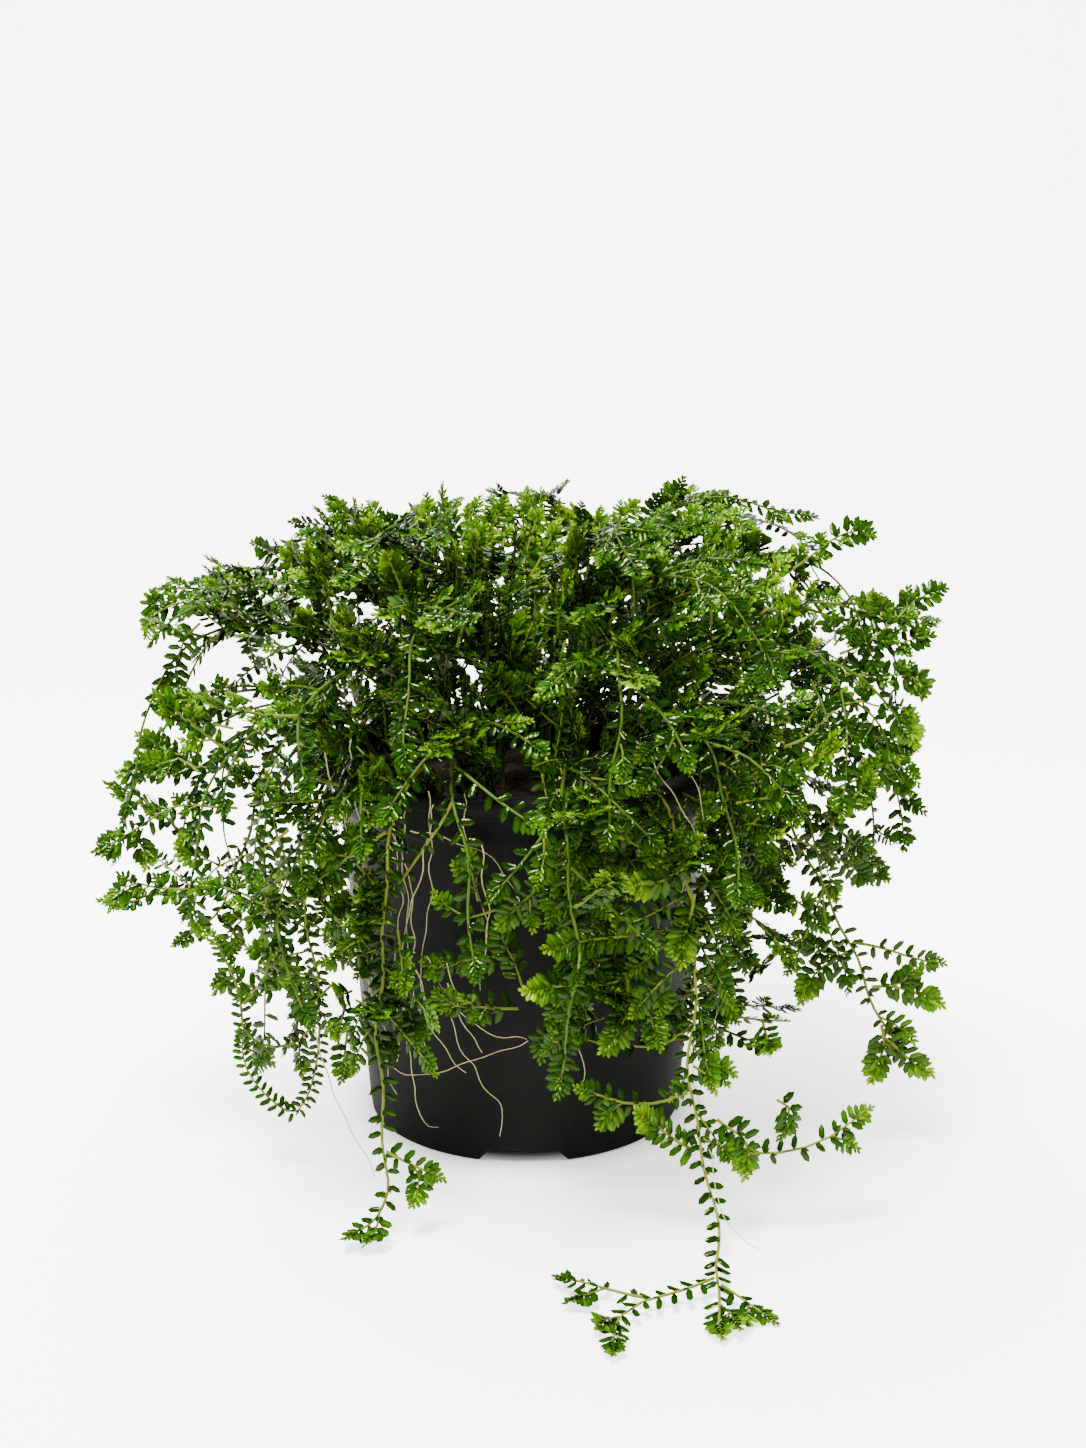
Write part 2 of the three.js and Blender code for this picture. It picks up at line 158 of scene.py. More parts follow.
def trail_left_loop():
    return [
        *bare_run(TRAIL_BARE, 9), *leafy_run(17, 8.4, 8, 0), fork(1, 46, leafy_run(16, 8, 10)),
        *leafy_run(52, 8.4, 6, 0), *curled(leafy_run(30, 6, 7, 0.2), -34), fork(-1, 50, leafy_run(9, 6, 7)),
        *leafy_run(14, 6, 8),
    ]


def trail_right():
    return [
        *bare_run(54, 10), *leafy_run(24, 8, 7, 0), fork(-1, 50, leafy_run(14, 7, 9)),
        *leafy_run(14, 7, 8, 0), fork(1, 56, leafy_run(16, 8, 9)), *leafy_run(14, 7, 8, 0),
        *leafy_run(16, 7, 9),
    ]


def trail_left():
    return [
        *bare_run(64, 10), *leafy_run(14, 7, 8, 0), fork(1, 46, leafy_run(14, 7, 9)),
        *leafy_run(8, 7, 8, 0), fork(-1, 46, leafy_run(14, 7, 9)), *leafy_run(20, 7, 9),
    ]


TRAILS = [
    (trail_front_right, -61, (1, 0, 0),
     [(38, -70, 102), (41, -75, 85), (42, -76.5, 60), (43, -82, 36), (45, -90, 15), (47, -101, 4),
      (47, -111, 2.6), (46, -124, 2.4), (45, -142, 2.4)]),
    (trail_front_left, -115, (1, 0, 0),
     [(-30, -68, 103), (-34, -75, 86), (-35, -77, 62), (-34.5, -78, 38), (-35, -81, 20), (-34, -84, 9),
      (-34, -89, 4), (-36, -96, 2.6), (-38, -103, 2.6)]),
    (trail_left_loop, -137, (1, 0, 0),
     [(-52, -50, 104), (-55, -54, 88), (-55, -55, 62), (-54, -55, 40), (-54, -55, 20), (-54, -55, 5)]),
    (trail_right, -26, (0.9, 0, 0.4),
     [(68, -33, 99), (75, -36, 82), (82, -38, 71), (89, -38, 60), (93, -38, 48), (97, -38, 37),
      (102, -38, 26)]),
    (trail_left, 189, (0, -0.8, -0.6),
     [(-72, -13, 98), (-78, -15, 81), (-87, -15, 69), (-98, -15, 66), (-116, -15, 64)]),
]


def ring_sprays(ring):
    draw = draws(ring["seed"])
    foot = ring["line"][0][0]
    last = len(ring["line"]) - 1
    made = []
    for i, degrees in enumerate(ring["bearings"]):
        bearing = math.radians(degrees + draw(-4, 4))
        drift = math.radians(draw(-7, 7))
        reach = draw(0.95, 1.05) * (1 - 0.02 * math.cos(bearing))
        lift = draw(-1.5, 1.5) + (3 if i % 2 else -3) + 8 * math.cos(bearing)
        points = []
        for k, (r, z) in enumerate(ring["line"]):
            share = max(0, (k - 2) / (last - 2))
            radius = foot + (r - foot) * (1 + (reach - 1) * share)
            way = bearing + drift * share * share
            points.append((radius * math.cos(way), radius * math.sin(way), z + lift * share))
        roll = math.radians(ring["roll"] + draw(-5, 5))
        stem = Stem(points, (-math.sin(bearing), math.cos(bearing), 0), roll, False, CAMBER)
        steps = spray_pattern(stem.length - 6, ring["bare"], **SHAPE)
        made.append((f"{ring['name']}_spray_{i + 1:02d}", stem, steps, ring["bare"]))
    return made


def trail_sprays():
    made = []
    for pattern, bearing, across, route in TRAILS:
        way = math.radians(bearing)
        over = [(r * math.cos(way), r * math.sin(way), z) for r, z in OVER_LIP]
        stem = Stem(over + route, across, 0.0, True, 0.0)
        made.append((pattern.__name__, stem, pattern(), TRAIL_BARE))
    return made


# ---- stem lines
LINE_SAMPLES = 60  # between two given points
ROLL_IN = 40  # from a stem's foot to where its sheet has its full roll
JUST_UNDER = 0.999999  # keeps the last whole millimetre in


def unit(v):
    return v / np.maximum(np.linalg.norm(v, axis=-1, keepdims=True), 1e-12)


def smooth_line(points):
    """A centripetal curve through the points, as closely spaced samples."""
    p = np.array(points, float)
    p = np.vstack([2 * p[0] - p[1], p, 2 * p[-1] - p[-2]])
    out = []
    for i in range(1, len(p) - 2):
        x0, x1, x2, x3 = p[i - 1 : i + 3]
        gaps = ((x0, x1), (x1, x2), (x2, x3))
        d0, d1, d2 = (max(np.linalg.norm(b - a) ** 0.5, 1e-6) for a, b in gaps)
        t1 = ((x1 - x0) / d0 - (x2 - x0) / (d0 + d1) + (x2 - x1) / d1) * d1
        t2 = ((x2 - x1) / d1 - (x3 - x1) / (d1 + d2) + (x3 - x2) / d2) * d1
        t = np.linspace(0, 1, LINE_SAMPLES, endpoint=False)[:, None]
        out.append(x1 + t1 * t + (3 * (x2 - x1) - 2 * t1 - t2) * t**2 + (2 * (x1 - x2) + t1 + t2) * t**3)
    return np.vstack([*out, p[-2]])


def walked(line):
    """How far along the line each of its points lies."""
    return np.concatenate([[0], np.cumsum(np.linalg.norm(np.diff(line, axis=0), axis=1))])


def read_off(at, reach, table):
    """Rows of the table at the distances at, where its own rows lie at reach."""
    return np.column_stack([np.interp(at, reach, column) for column in table.T])


def square_to(v, ways):
    """The directions v with what runs along the unit ways taken out, one long."""
    return unit(v - (v * ways).sum(1, keepdims=True) * ways)


def resampled(line, spacing, least=2):
    """The line cut into even steps of about the given spacing."""
    reach = walked(line)
    count = max(least, int(reach[-1] // spacing) + 1)
    return read_off(np.linspace(0, reach[-1], count), reach, line)


class Stem:
    """A stem's line with a frame at each millimetre: T along it, B across its leafy sheet, N out of it."""

    def __init__(self, points, across, roll, at_tip, camber):
        fine = smooth_line(points)
        total = np.linalg.norm(np.diff(fine, axis=0), axis=1).sum()
        self.spot = resampled(fine, total / int(total) * JUST_UNDER)
        self.length = len(self.spot) - 1
        self.camber = camber
        n = len(self.spot)
        ahead = self.spot[np.minimum(np.arange(n) + 1, n - 1)]
        behind = self.spot[np.maximum(np.arange(n) - 1, 0)]
        self.T = unit(ahead - behind)
        self.B = np.zeros_like(self.T)
        side = np.array(across, float)
        for i in reversed(range(n)) if at_tip else range(n):
            side = side - side.dot(self.T[i]) * self.T[i]
            side = side / np.linalg.norm(side)
            turn = roll * min(1, i / ROLL_IN)
            self.B[i] = side * math.cos(turn) + np.cross(self.T[i], side) * math.sin(turn)
        self.N = np.cross(self.T, self.B)

    def place(self, u, v, h):
        """Points u along, v across and h off the bent sheet, with its normals and across ways there."""
        at = np.clip(u, 0, self.length - 0.001)
        i = at.astype(int)
        f = (at - i)[:, None]
        spot, T, B, N = (k[i] * (1 - f) + k[i + 1] * f for k in (self.spot, self.T, self.B, self.N))
        N = unit(N)
        rise = (h - self.camber * v * v)[:, None]
        tilt = 2 * self.camber * v[:, None]
        return spot + T * (u - at)[:, None] + B * v[:, None] + N * rise, unit(N + B * tilt), unit(B)


def grow(steps, left, right, heading, ribs, sites, depth=0):
    """Follows the steps of a rib and its forks. ribs gets their flat lines, sites where twigs stand."""
    u, v = (left[0] + right[0]) / 2, (left[1] + right[1]) / 2
    line = [(u, v)]
    for i, step in enumerate(steps):
        heading += math.radians(step["turn"])
        u += step["length"] * math.cos(heading)
        v += step["length"] * math.sin(heading)
        du, dv = -step["half"] * math.sin(heading), step["half"] * math.cos(heading)
        next_left, next_right = (u + du, v + dv), (u - du, v - dv)
        branch = step.get("branch")
        for side, a, b in ((1, left, next_left), (-1, next_right, right)):
            if branch and branch[0] == side:
                grow(branch[2], a, b, heading + side * math.radians(branch[1]), ribs, sites, depth + 1)
            elif step.get("leaf"):
                root = ((a[0] + b[0]) / 2, (a[1] + b[1]) / 2)
                sites.append((root, heading, side, step["leaf"], len(steps) - i))
        line.append((u, v))
        left, right = next_left, next_right
    end = steps[-1]["end"]
    line.append((u + end * math.cos(heading), v + end * math.sin(heading)))
    ribs.append((np.array(line), depth))


# ---- leafy growth
LEAF_LENGTH = 3.9  # a full side leaf
LEAF_WIDTH = 0.42  # of its length
SIDE, TOP = 1, 2  # the two kinds of leaf. Stem points are kind 0
LINE_STEP = 1.6  # between the points of a leafy stem's line
FIRST_LEAF = 0.1  # from the tip back to the first leaf
TIP_STEP, OPEN_STEP = 0.54, 0.9  # from leaf to leaf at the tip, and what an older stem adds to it
OLD_FROM = 14  # from the tip back to where leaves begin to be missing
BARE_FOOT = 24  # the leafless foot of a main stem
FACING = 0.9  # how far the mound's sprays turn their faces to the front or the back
FIRST_SPRAY_SEED = 100  # the main stems count up from it


def eased(x):
    x = np.clip(x, 0, 1)
    return x * x * (3 - 2 * x)


class Growth:
    """Stem lines, and the places of leaves along them, of one leafy spray."""

    def __init__(self, seed):
        self.rng = np.random.default_rng(seed)
        self.lines = []
        self.leaves = {key: [] for key in ("spot", "turn", "size", "wide", "age", "kind")}

    def add_stem(self, spots, root_radius, tip_radius, shade=0.6):
        """A stem line. Its shade is 0 for the pale runners and 1 for the stems inside the mound, which are
        darker green and painted darker still as painted shade.
        """
        spots = np.vstack([spots[:-1:2], spots[-1]]) if len(spots) > 6 else spots
        count = len(spots)
        self.lines.append((spots, np.linspace(root_radius, tip_radius, count), np.full(count, shade)))

    def add_leaves(self, kind, spots, along, up, size, wide, age):
        out = unit(along)
        up = square_to(up, out)
        across = np.cross(up, out)
        turn = np.column_stack([
            np.arctan2(across[:, 2], up[:, 2]),
            -np.arcsin(np.clip(out[:, 2], -1, 1)),
            np.arctan2(out[:, 1], out[:, 0]),
        ])
        kinds = np.full(len(spots), kind)
        for key, value in dict(spot=spots, turn=turn, size=size, wide=wide, age=age, kind=kinds).items():
            self.leaves[key].append(value)

    def dress(self, line, ups, leaf=1.0, bare=0.0, old=0.0, gaps=0.0, knob=5.5, away=()):
        """Sets side leaves by turns on both sides of a line and small top leaves over it.

        They crowd into a short broad knob at the tip, and stand apart as pairs on the older stem.
        """
        rng = self.rng
        reach = walked(line)
        total = reach[-1]
        back = []
        d = FIRST_LEAF
        while d < total - bare:
            back.append(d)
            d += TIP_STEP + (OPEN_STEP + gaps) * float(eased((d - 0.4 * knob) / 8))
        if not back:
            return
        back = np.array(back)
        side = np.where(np.arange(len(back)) % 2, 1.0, -1.0)
        at = total - back
        spots = read_off(at, reach, line)
        lost = np.maximum(0.3 * gaps * (back > OLD_FROM), 0.6 * in_boxes(spots, away))
        keep = rng.random(len(back)) >= lost
        if not keep.any():
            return
        back, side, at, spots = back[keep], side[keep], at[keep], spots[keep]
        slope = unit(np.gradient(line, axis=0))
        T = unit(read_off(at, reach, slope))
        N = square_to(read_off(at, reach, ups), T)
        B = np.cross(N, T)
        count = len(back)
        ripe = eased((back - 1) / knob)
        angle = np.radians(22 + 36 * eased(back / 2.6) + 8 * ripe + rng.uniform(-5, 5, count))
        size = leaf * (0.42 + 0.4 * eased(back / 4.2) + 0.2 * ripe) * rng.uniform(0.88, 1.12, count)
        wide = 1.2 - 0.16 * ripe
        # A leaf's age from the tip, plus the caller's offset, which holds both real age and painted shade.
        age = np.clip(back / 9, 0, 1) * 0.55 + np.clip(back / 60, 0, 1) * 0.2 + old
        ways = T * np.cos(angle)[:, None] + B * (side * np.sin(angle))[:, None]
        ways += N * (rng.uniform(-0.2, 0.24, count) + 0.25 * (1 - ripe))[:, None]
        lean = rng.uniform(-0.35, 0.35, count) + rng.uniform(-0.3, 0.3)
        self.add_leaves(SIDE, spots + N * 0.1, ways, N + B * (side * -0.15 + lean)[:, None], size, wide, age)
        few = (np.arange(count) % 4 < 2) | (back < 6)
        T, N, B, side, spots = (k[few] for k in (T, N, B, side, spots))
        size, wide, age, ripe = (k[few] for k in (size, wide, age, ripe))
        count = len(spots)
        over = T * 0.8 + B * (side * rng.uniform(0.3, 0.75, count))[:, None]
        over = over + N * (0.75 - 0.4 * ripe)[:, None]
        small = size * rng.uniform(0.55, 0.68, count)
        self.add_leaves(TOP, spots + N * 0.35, over, N + T * -0.4, small, wide * 1.05, age * 0.85)

    def twig(self, spots, ups, thick=0.36, **leafing):
        self.add_stem(spots, thick, thick * 0.5)
        self.dress(spots, ups, bare=0.8, **leafing)


CLEAR = [  # boxes in front of the pot where no short shoot grows, so that its rim and its foot show
    ((-27, -100, 66), (1, -50, 106)),
    ((-27, -128, 84), (1, -90, 117)),
    ((-36, -80, 0), (30, -45, 46)),
]
OPENINGS = [  # boxes at the sides, where the mound stands open between its arms
    ((-130, -60, 112), (-90, 70, 141)),
    ((-104, -60, 38), (-74, 40, 82)),
    ((74, -60, 147), (100, 70, 163)),
    ((94, -60, 114), (132, 70, 136)),
    ((74, -60, 44), (130, 60, 70)),
]


def in_boxes(spots, boxes):
    spots = np.asarray(spots)
    inside = [((spots > low) & (spots < high)).all(axis=1) for low, high in boxes]
    return np.any(inside, axis=0) if boxes else np.zeros(len(spots), bool)


def in_clear(spots):
    return bool(in_boxes(spots, CLEAR + OPENINGS).any())


def outside(spot):
    """0 within the mound, rising to 1 where it opens into separate brushes towards its outside."""
    return float(eased((math.hypot(spot[0] * 1.06, spot[1]) - 74) / 22))


def airy(spot, rng):
    """True where a short shoot is left out on the mound's open outside, more so low on its left."""
    low_left = 0.75 * eased((-spot[0] - 52) / 14) * eased((150 - spot[2]) / 30)
    return rng.random() < 0.8 * outside(spot) + low_left


# Distances out from the axis, and the height that no shoot passes at each.
ROOF = ((0, 48, 60, 75, 90, 105, 130), (182, 181, 177, 170, 160, 150, 140))


def over_roof(spots):
    return bool((spots[:, 2] > np.interp(np.hypot(spots[:, 0], spots[:, 1]), *ROOF)).any())


def spread(spots, ups, share):
    """The ups turned some way to the front or the back, so that sprays at the sides show their faces."""
    ways = unit(np.gradient(spots, axis=0))
    return square_to(ups + share * np.array([0, -1.0 if spots[-1, 1] < 25 else 1.0, 0.5]), ways)


def forked(growth, spots, ups, thick=0.5, twigs=9.0, old=0.1, bare=1.5, shade=0.6, **leafing):
    """A leafy stem along the spots. Where twigs isn't 0 it bears twigs of about that length by turns."""
    rng = growth.rng
    reach = walked(spots)
    length = reach[-1]
    ways = unit(np.gradient(spots, axis=0))
    ups = square_to(ups, ways)
    across = np.cross(ups, ways)
    growth.add_stem(spots, thick, thick * 0.5, shade)
    growth.dress(spots, ups, bare=bare, old=old, **leafing)
    side = 1 if rng.random() < 0.5 else -1
    s = rng.uniform(4, 7)
    while twigs and s < length - 4.5:
        i = min(len(spots) - 2, int(np.searchsorted(reach, s)))
        own = twigs * (1.15 - 0.45 * s / length) * rng.uniform(0.75, 1.2)
        m = max(5, int(own / 1.5))
        angle = math.radians(rng.uniform(44, 62))
        off = rng.uniform(-0.35, 0.45)
        out = across[i] * side + ups[i] * off
        path = [spots[i]]
        for k in range(1, m):
            now = angle * (1 - 0.45 * k / m)
            path.append(path[-1] + (ways[i] * math.cos(now) + out * math.sin(now)) * own / m)
        face = np.tile(ups[i] - across[i] * side * off, (m, 1))
        growth.twig(np.array(path), face, thick=0.32, leaf=leafing.get("leaf", 1.0) * 0.9, old=old)
        side = -side
        s += rng.uniform(3.6, 5.4)


def free_spray(growth, root, way, length, bend=(0, 0, 1), roll=0.0, **making):
    """A forking spray that leaves a stem at root along way and bends slowly towards bend as it grows."""
    rng = growth.rng
    way, bend = unit(np.array(way, float)), unit(np.array(bend, float))
    n = max(6, int(length / LINE_STEP))
    share = 0.9 / n
    spots, ways = [np.array(root, float)], [way]
    for k in range(1, n):
        way = unit(unit(way * (1 - share) + bend * share) + rng.uniform(-0.05, 0.05, 3))
        spots.append(spots[-1] + way * length / (n - 1))
        ways.append(way)
    spots, ways = np.array(spots), np.array(ways)
    if in_clear(spots) or over_roof(spots):
        return
    level = unit(np.cross((0, 0, 1), ways) + 1e-6)
    across = level * math.cos(roll) + np.cross(ways, level) * math.sin(roll)
    forked(growth, spots, spread(spots, np.cross(ways, across), 0.6), gaps=0.25, **making)


class Sheet:
    """The leafy sheet of a spray: a stem's bent sheet with the slight wander of a living stem."""

    def __init__(self, stem, rng):
        self.stem = stem
        self.low = stem.camber == 0.0
        self.phase = rng.uniform(0, 2 * math.pi, 4)
        self.sway = 0.9 if self.low else 1.0

    def lay(self, u, v, h, out=0.0):
        """Points, and their normals when the growth stands out of the sheet at the given angle."""
        p = self.phase
        grown = np.clip((u - 24) / 30, 0, 1) * self.sway
        v = v + grown * (1.3 * np.sin(u / 9.5 + p[0]) + 0.6 * np.sin(u / 4.1 + p[1]))
        h = h + grown * (1.6 * np.sin(u / 14 + p[2] + v / 17) + 0.7 * np.sin(v / 6 + p[3]))
        spots, up, across = self.stem.place(u, v, h)
        return spots, up * math.cos(out) - across * math.sin(out)


SIDE_SHOOTS = {  # height of the shoot's foot, its angle off the trailing stem, its length
    "trail_front_right": [(99, 0.9, 20), (95, -1.0, 22), (91, 0.9, 18), (87, -1.1, 24), (83, 0.8, 19),
        (79, -1.0, 22), (75, 0.9, 18), (71, -1.1, 22), (67, 0.7, 16), (63, -0.9, 19), (60, 0.4, 24),
        (56, -0.8, 15), (49, 0.7, 14), (41, -0.7, 8), (33, 0.6, 16)],
    "trail_front_left": [(98, 0.9, 20), (93, -0.9, 22), (88, 1.1, 24), (83, -1.0, 20), (78, 0.8, 26),
        (73, -1.1, 22), (68, 1.1, 24), (63, -0.8, 20), (58, 0.9, 22), (53, -0.9, 17), (48, 0.7, 16),
        (44, -0.7, 11)],
    "trail_left_loop": [(96, 0.9, 20), (90, -0.9, 22), (85, 1.0, 18), (79, -1.0, 22), (72, 0.9, 14),
        (60, -0.8, 12), (48, 0.8, 10)],
    "trail_right": [(96, 0.9, 16), (91, -0.9, 17), (86, 1.0, 15), (80, -0.9, 14), (74, 1.0, 16),
        (68, -1.0, 14)],
    "trail_left": [(97, 0.9, 16), (92, -0.9, 18), (87, 1.0, 16), (81, -1.0, 17), (75, 1.0, 15)],
}


def spray_growth(name, stem, steps, bare, seed):
    """All of one main stem: its ribs with their leaves, then the short shoots on them."""
    growth = Growth(seed)
    sheet = Sheet(stem, growth.rng)
    ribs, sites, dropped = [], [], []
    grow(steps, (0, STEM_HALF), (0, -STEM_HALF), 0.0, ribs, sites)
    for line, depth in ribs:
        flat = resampled(line, LINE_STEP)
        spots, ups = sheet.lay(flat[:, 0], flat[:, 1], np.zeros(len(flat)))
        away = () if sheet.low else OPENINGS
        in_open = in_boxes(spots, away)
        if depth and in_open.mean() > 0.4:
            dropped.append(line)
            continue
        end = len(spots)
        while end > 8 and in_open[end - 1]:
            end -= 1
        spots, ups = spots[:end], ups[:end]
        thick = (0.46, 0.28) if depth else (0.5, 0.4) if sheet.low else (0.6, 0.26)
        runner = 0.1 if name == "trail_front_right" else 0.45
        # Stems in the mound get a darker green and painted shade; the runners stay pale.
        shade = 0.9 if not sheet.low else 0.3 if depth else runner
        growth.add_stem(spots, *thick, shade)
        far = outside(spots[-1])
        if name == "trail_left_loop":
            leaf, gaps, old = 0.74, -0.1, 0.15
        elif sheet.low:
            leaf, gaps, old = 0.96, 0.45, 0.2
        else:
            open_share = far * float(eased((172 - spots[:, 2].max()) / 25))
            # Towards the mound's outside the leaves stand further apart and are painted darker, as painted
            # shade.
            leaf, gaps, old = 1.0, 0.1 + 0.8 * open_share, 0.16 + 0.26 * far
            ups = spread(spots, ups, FACING)
        foot = 1.0 if depth else BARE_FOOT
        growth.dress(spots, ups, leaf=leaf, bare=foot, old=old, gaps=gaps, knob=6.0, away=away)
    if sheet.low:
        dress_trail(name, growth, sheet, ribs)
    else:
        dress_mound(growth, sheet, sites, dropped, bare)
    return growth


def dress_mound(growth, sheet, sites, dropped, bare):
    """The shoots of a stem in the mound: at its leaf places, along its length and out of its face."""
    rng, stem = growth.rng, sheet.stem
    for root, heading, side, length, order in sites:
        if order and rng.random() < 0.2 or any(np.hypot(*(line - root).T).min() < 3 for line in dropped):
            continue
        length *= rng.uniform(0.68, 1.06)
        aim = heading + side * (SWEEP + rng.uniform(-0.3, 0.2))
        shoot(growth, sheet, root, aim, length, out=rng.uniform(-0.8, 0.9), forward=rng.uniform(-0.3, 0.8))
    for u in np.arange(14, stem.length - 12, 7.2):
        length = rng.uniform(11, 20) if u < bare else rng.uniform(9, 15)
        aim = rng.uniform(0.6, 1.15)
        out = rng.uniform(-2.6, 2.6) if u < bare else math.pi / 2 + rng.uniform(-0.8, 0.8)
        # These shoots inside the mound are older and darker, partly as painted shade.
        shoot(growth, sheet, (u, 0.0), aim, length, out=out, forward=rng.uniform(-0.4, 0.6), old=0.1)
    for share in (0.5, 0.72):
        i = int(stem.length * (share + rng.uniform(-0.06, 0.06)))
        root, way = stem.spot[i], stem.T[i]
        aside = stem.B[i] * rng.uniform(-0.8, 0.8)
        level = np.array([way[0], way[1], 0.0])
        climb = np.array([0, 0, rng.uniform(0.15, 0.7)])
        length, bend = rng.uniform(18, 28), level * 0.8 + (0, 0, rng.uniform(-0.6, 0.9))
        free_spray(growth, root, level + aside + climb, length, bend=bend, roll=rng.uniform(-0.9, 0.9))


def dress_trail(name, growth, sheet, ribs):
    """The side shoots of a trailing stem, and the paired short shoots that end each of its branches."""
    rng, stem = growth.rng, sheet.stem
    for line, _ in ribs:
        back = max(0, len(line) - 3)
        root, onward = line[back], line[-1] - line[back]
        heading = math.atan2(onward[1], onward[0])
        side = 1 if rng.random() < 0.5 else -1
        aim = heading + side * 0.75
        shoot(growth, sheet, root, aim, rng.uniform(8, 11), out=0.3 * side, forward=0.5, leaf=1.05)
    for height, aim, length in SIDE_SHOOTS.get(name, ()):
        u = float(stem.length - np.argmin(np.abs(stem.spot[::-1, 2] - height)))
        out, forward = rng.uniform(-0.1, 0.9), rng.uniform(-0.3, 0.6)
        shoot(growth, sheet, (u, 0.0), aim, length, out=out, forward=forward)


def shoot(growth, sheet, root, aim, length, out=0.0, forward=0.4, old=0.0, leaf=0.91):
    """A leafy twig off a rib, set at the angle aim and the angle out off the sheet. It turns forward."""
    rng = growth.rng
    n = max(5, int(length / LINE_STEP))
    s = np.linspace(0, length, n)
    step = length / (n - 1)
    side = math.copysign(1, aim)
    way = aim - side * forward * (s / length)
    u = root[0] + np.concatenate([[0], np.cumsum(np.cos(way[1:]) * step)])
    off = np.concatenate([[0], np.cumsum(np.sin(way[1:]) * step)])
    rise = rng.uniform(-0.008, 0.016) * s * s
    h = off * math.sin(out) + rise
    v = root[1] + off * math.cos(out)
    spots, ups = sheet.lay(u, v, h, out)
    if in_clear(spots) or over_roof(spots) or not sheet.low and airy(spots[0], rng):
        return
    if not sheet.low:
        ups = spread(spots, ups, FACING)
        # Painted shade: shoots towards the mound's outside are darker.
        old += 0.2 * outside(spots[0])
    growth.twig(spots, ups, leaf=leaf * rng.uniform(0.9, 1.1), old=old + rng.uniform(0.06, 0.24))


OUTER_SPRAYS = [  # root, the way it sets off, its length and what it bends towards
    ((72, -2, 150), (1, 0.1, 0.45), 24, (1, 0, 0.1)),
    ((88, 0, 128), (1, 0.2, 0.3), 26, (1, 0, -0.2)),
    ((86, 4, 146), (1, 0, 0.1), 22, (0.9, 0, -0.5)),
    ((84, -14, 112), (1, -0.2, 0.2), 24, (0.7, 0, -0.6)),
    ((-78, 0, 150), (-1, 0, 0.2), 24, (-0.9, 0, -0.4)),
    ((-82, -4, 136), (-1, 0, 0.1), 22, (-0.8, 0, -0.6)),
    ((-84, -6, 112), (-1, 0, 0.05), 26, (-1, 0, -0.25)),
    ((-70, -16, 86), (-1, -0.2, -0.6), 24, (-0.5, 0, -1)),
    ((-48, 2, 156), (-0.4, 0, 1), 16, (-0.8, 0, 0.3)),
    ((44, 0, 160), (-0.4, 0, 1), 13, (-1, 0, 0.1)),
]

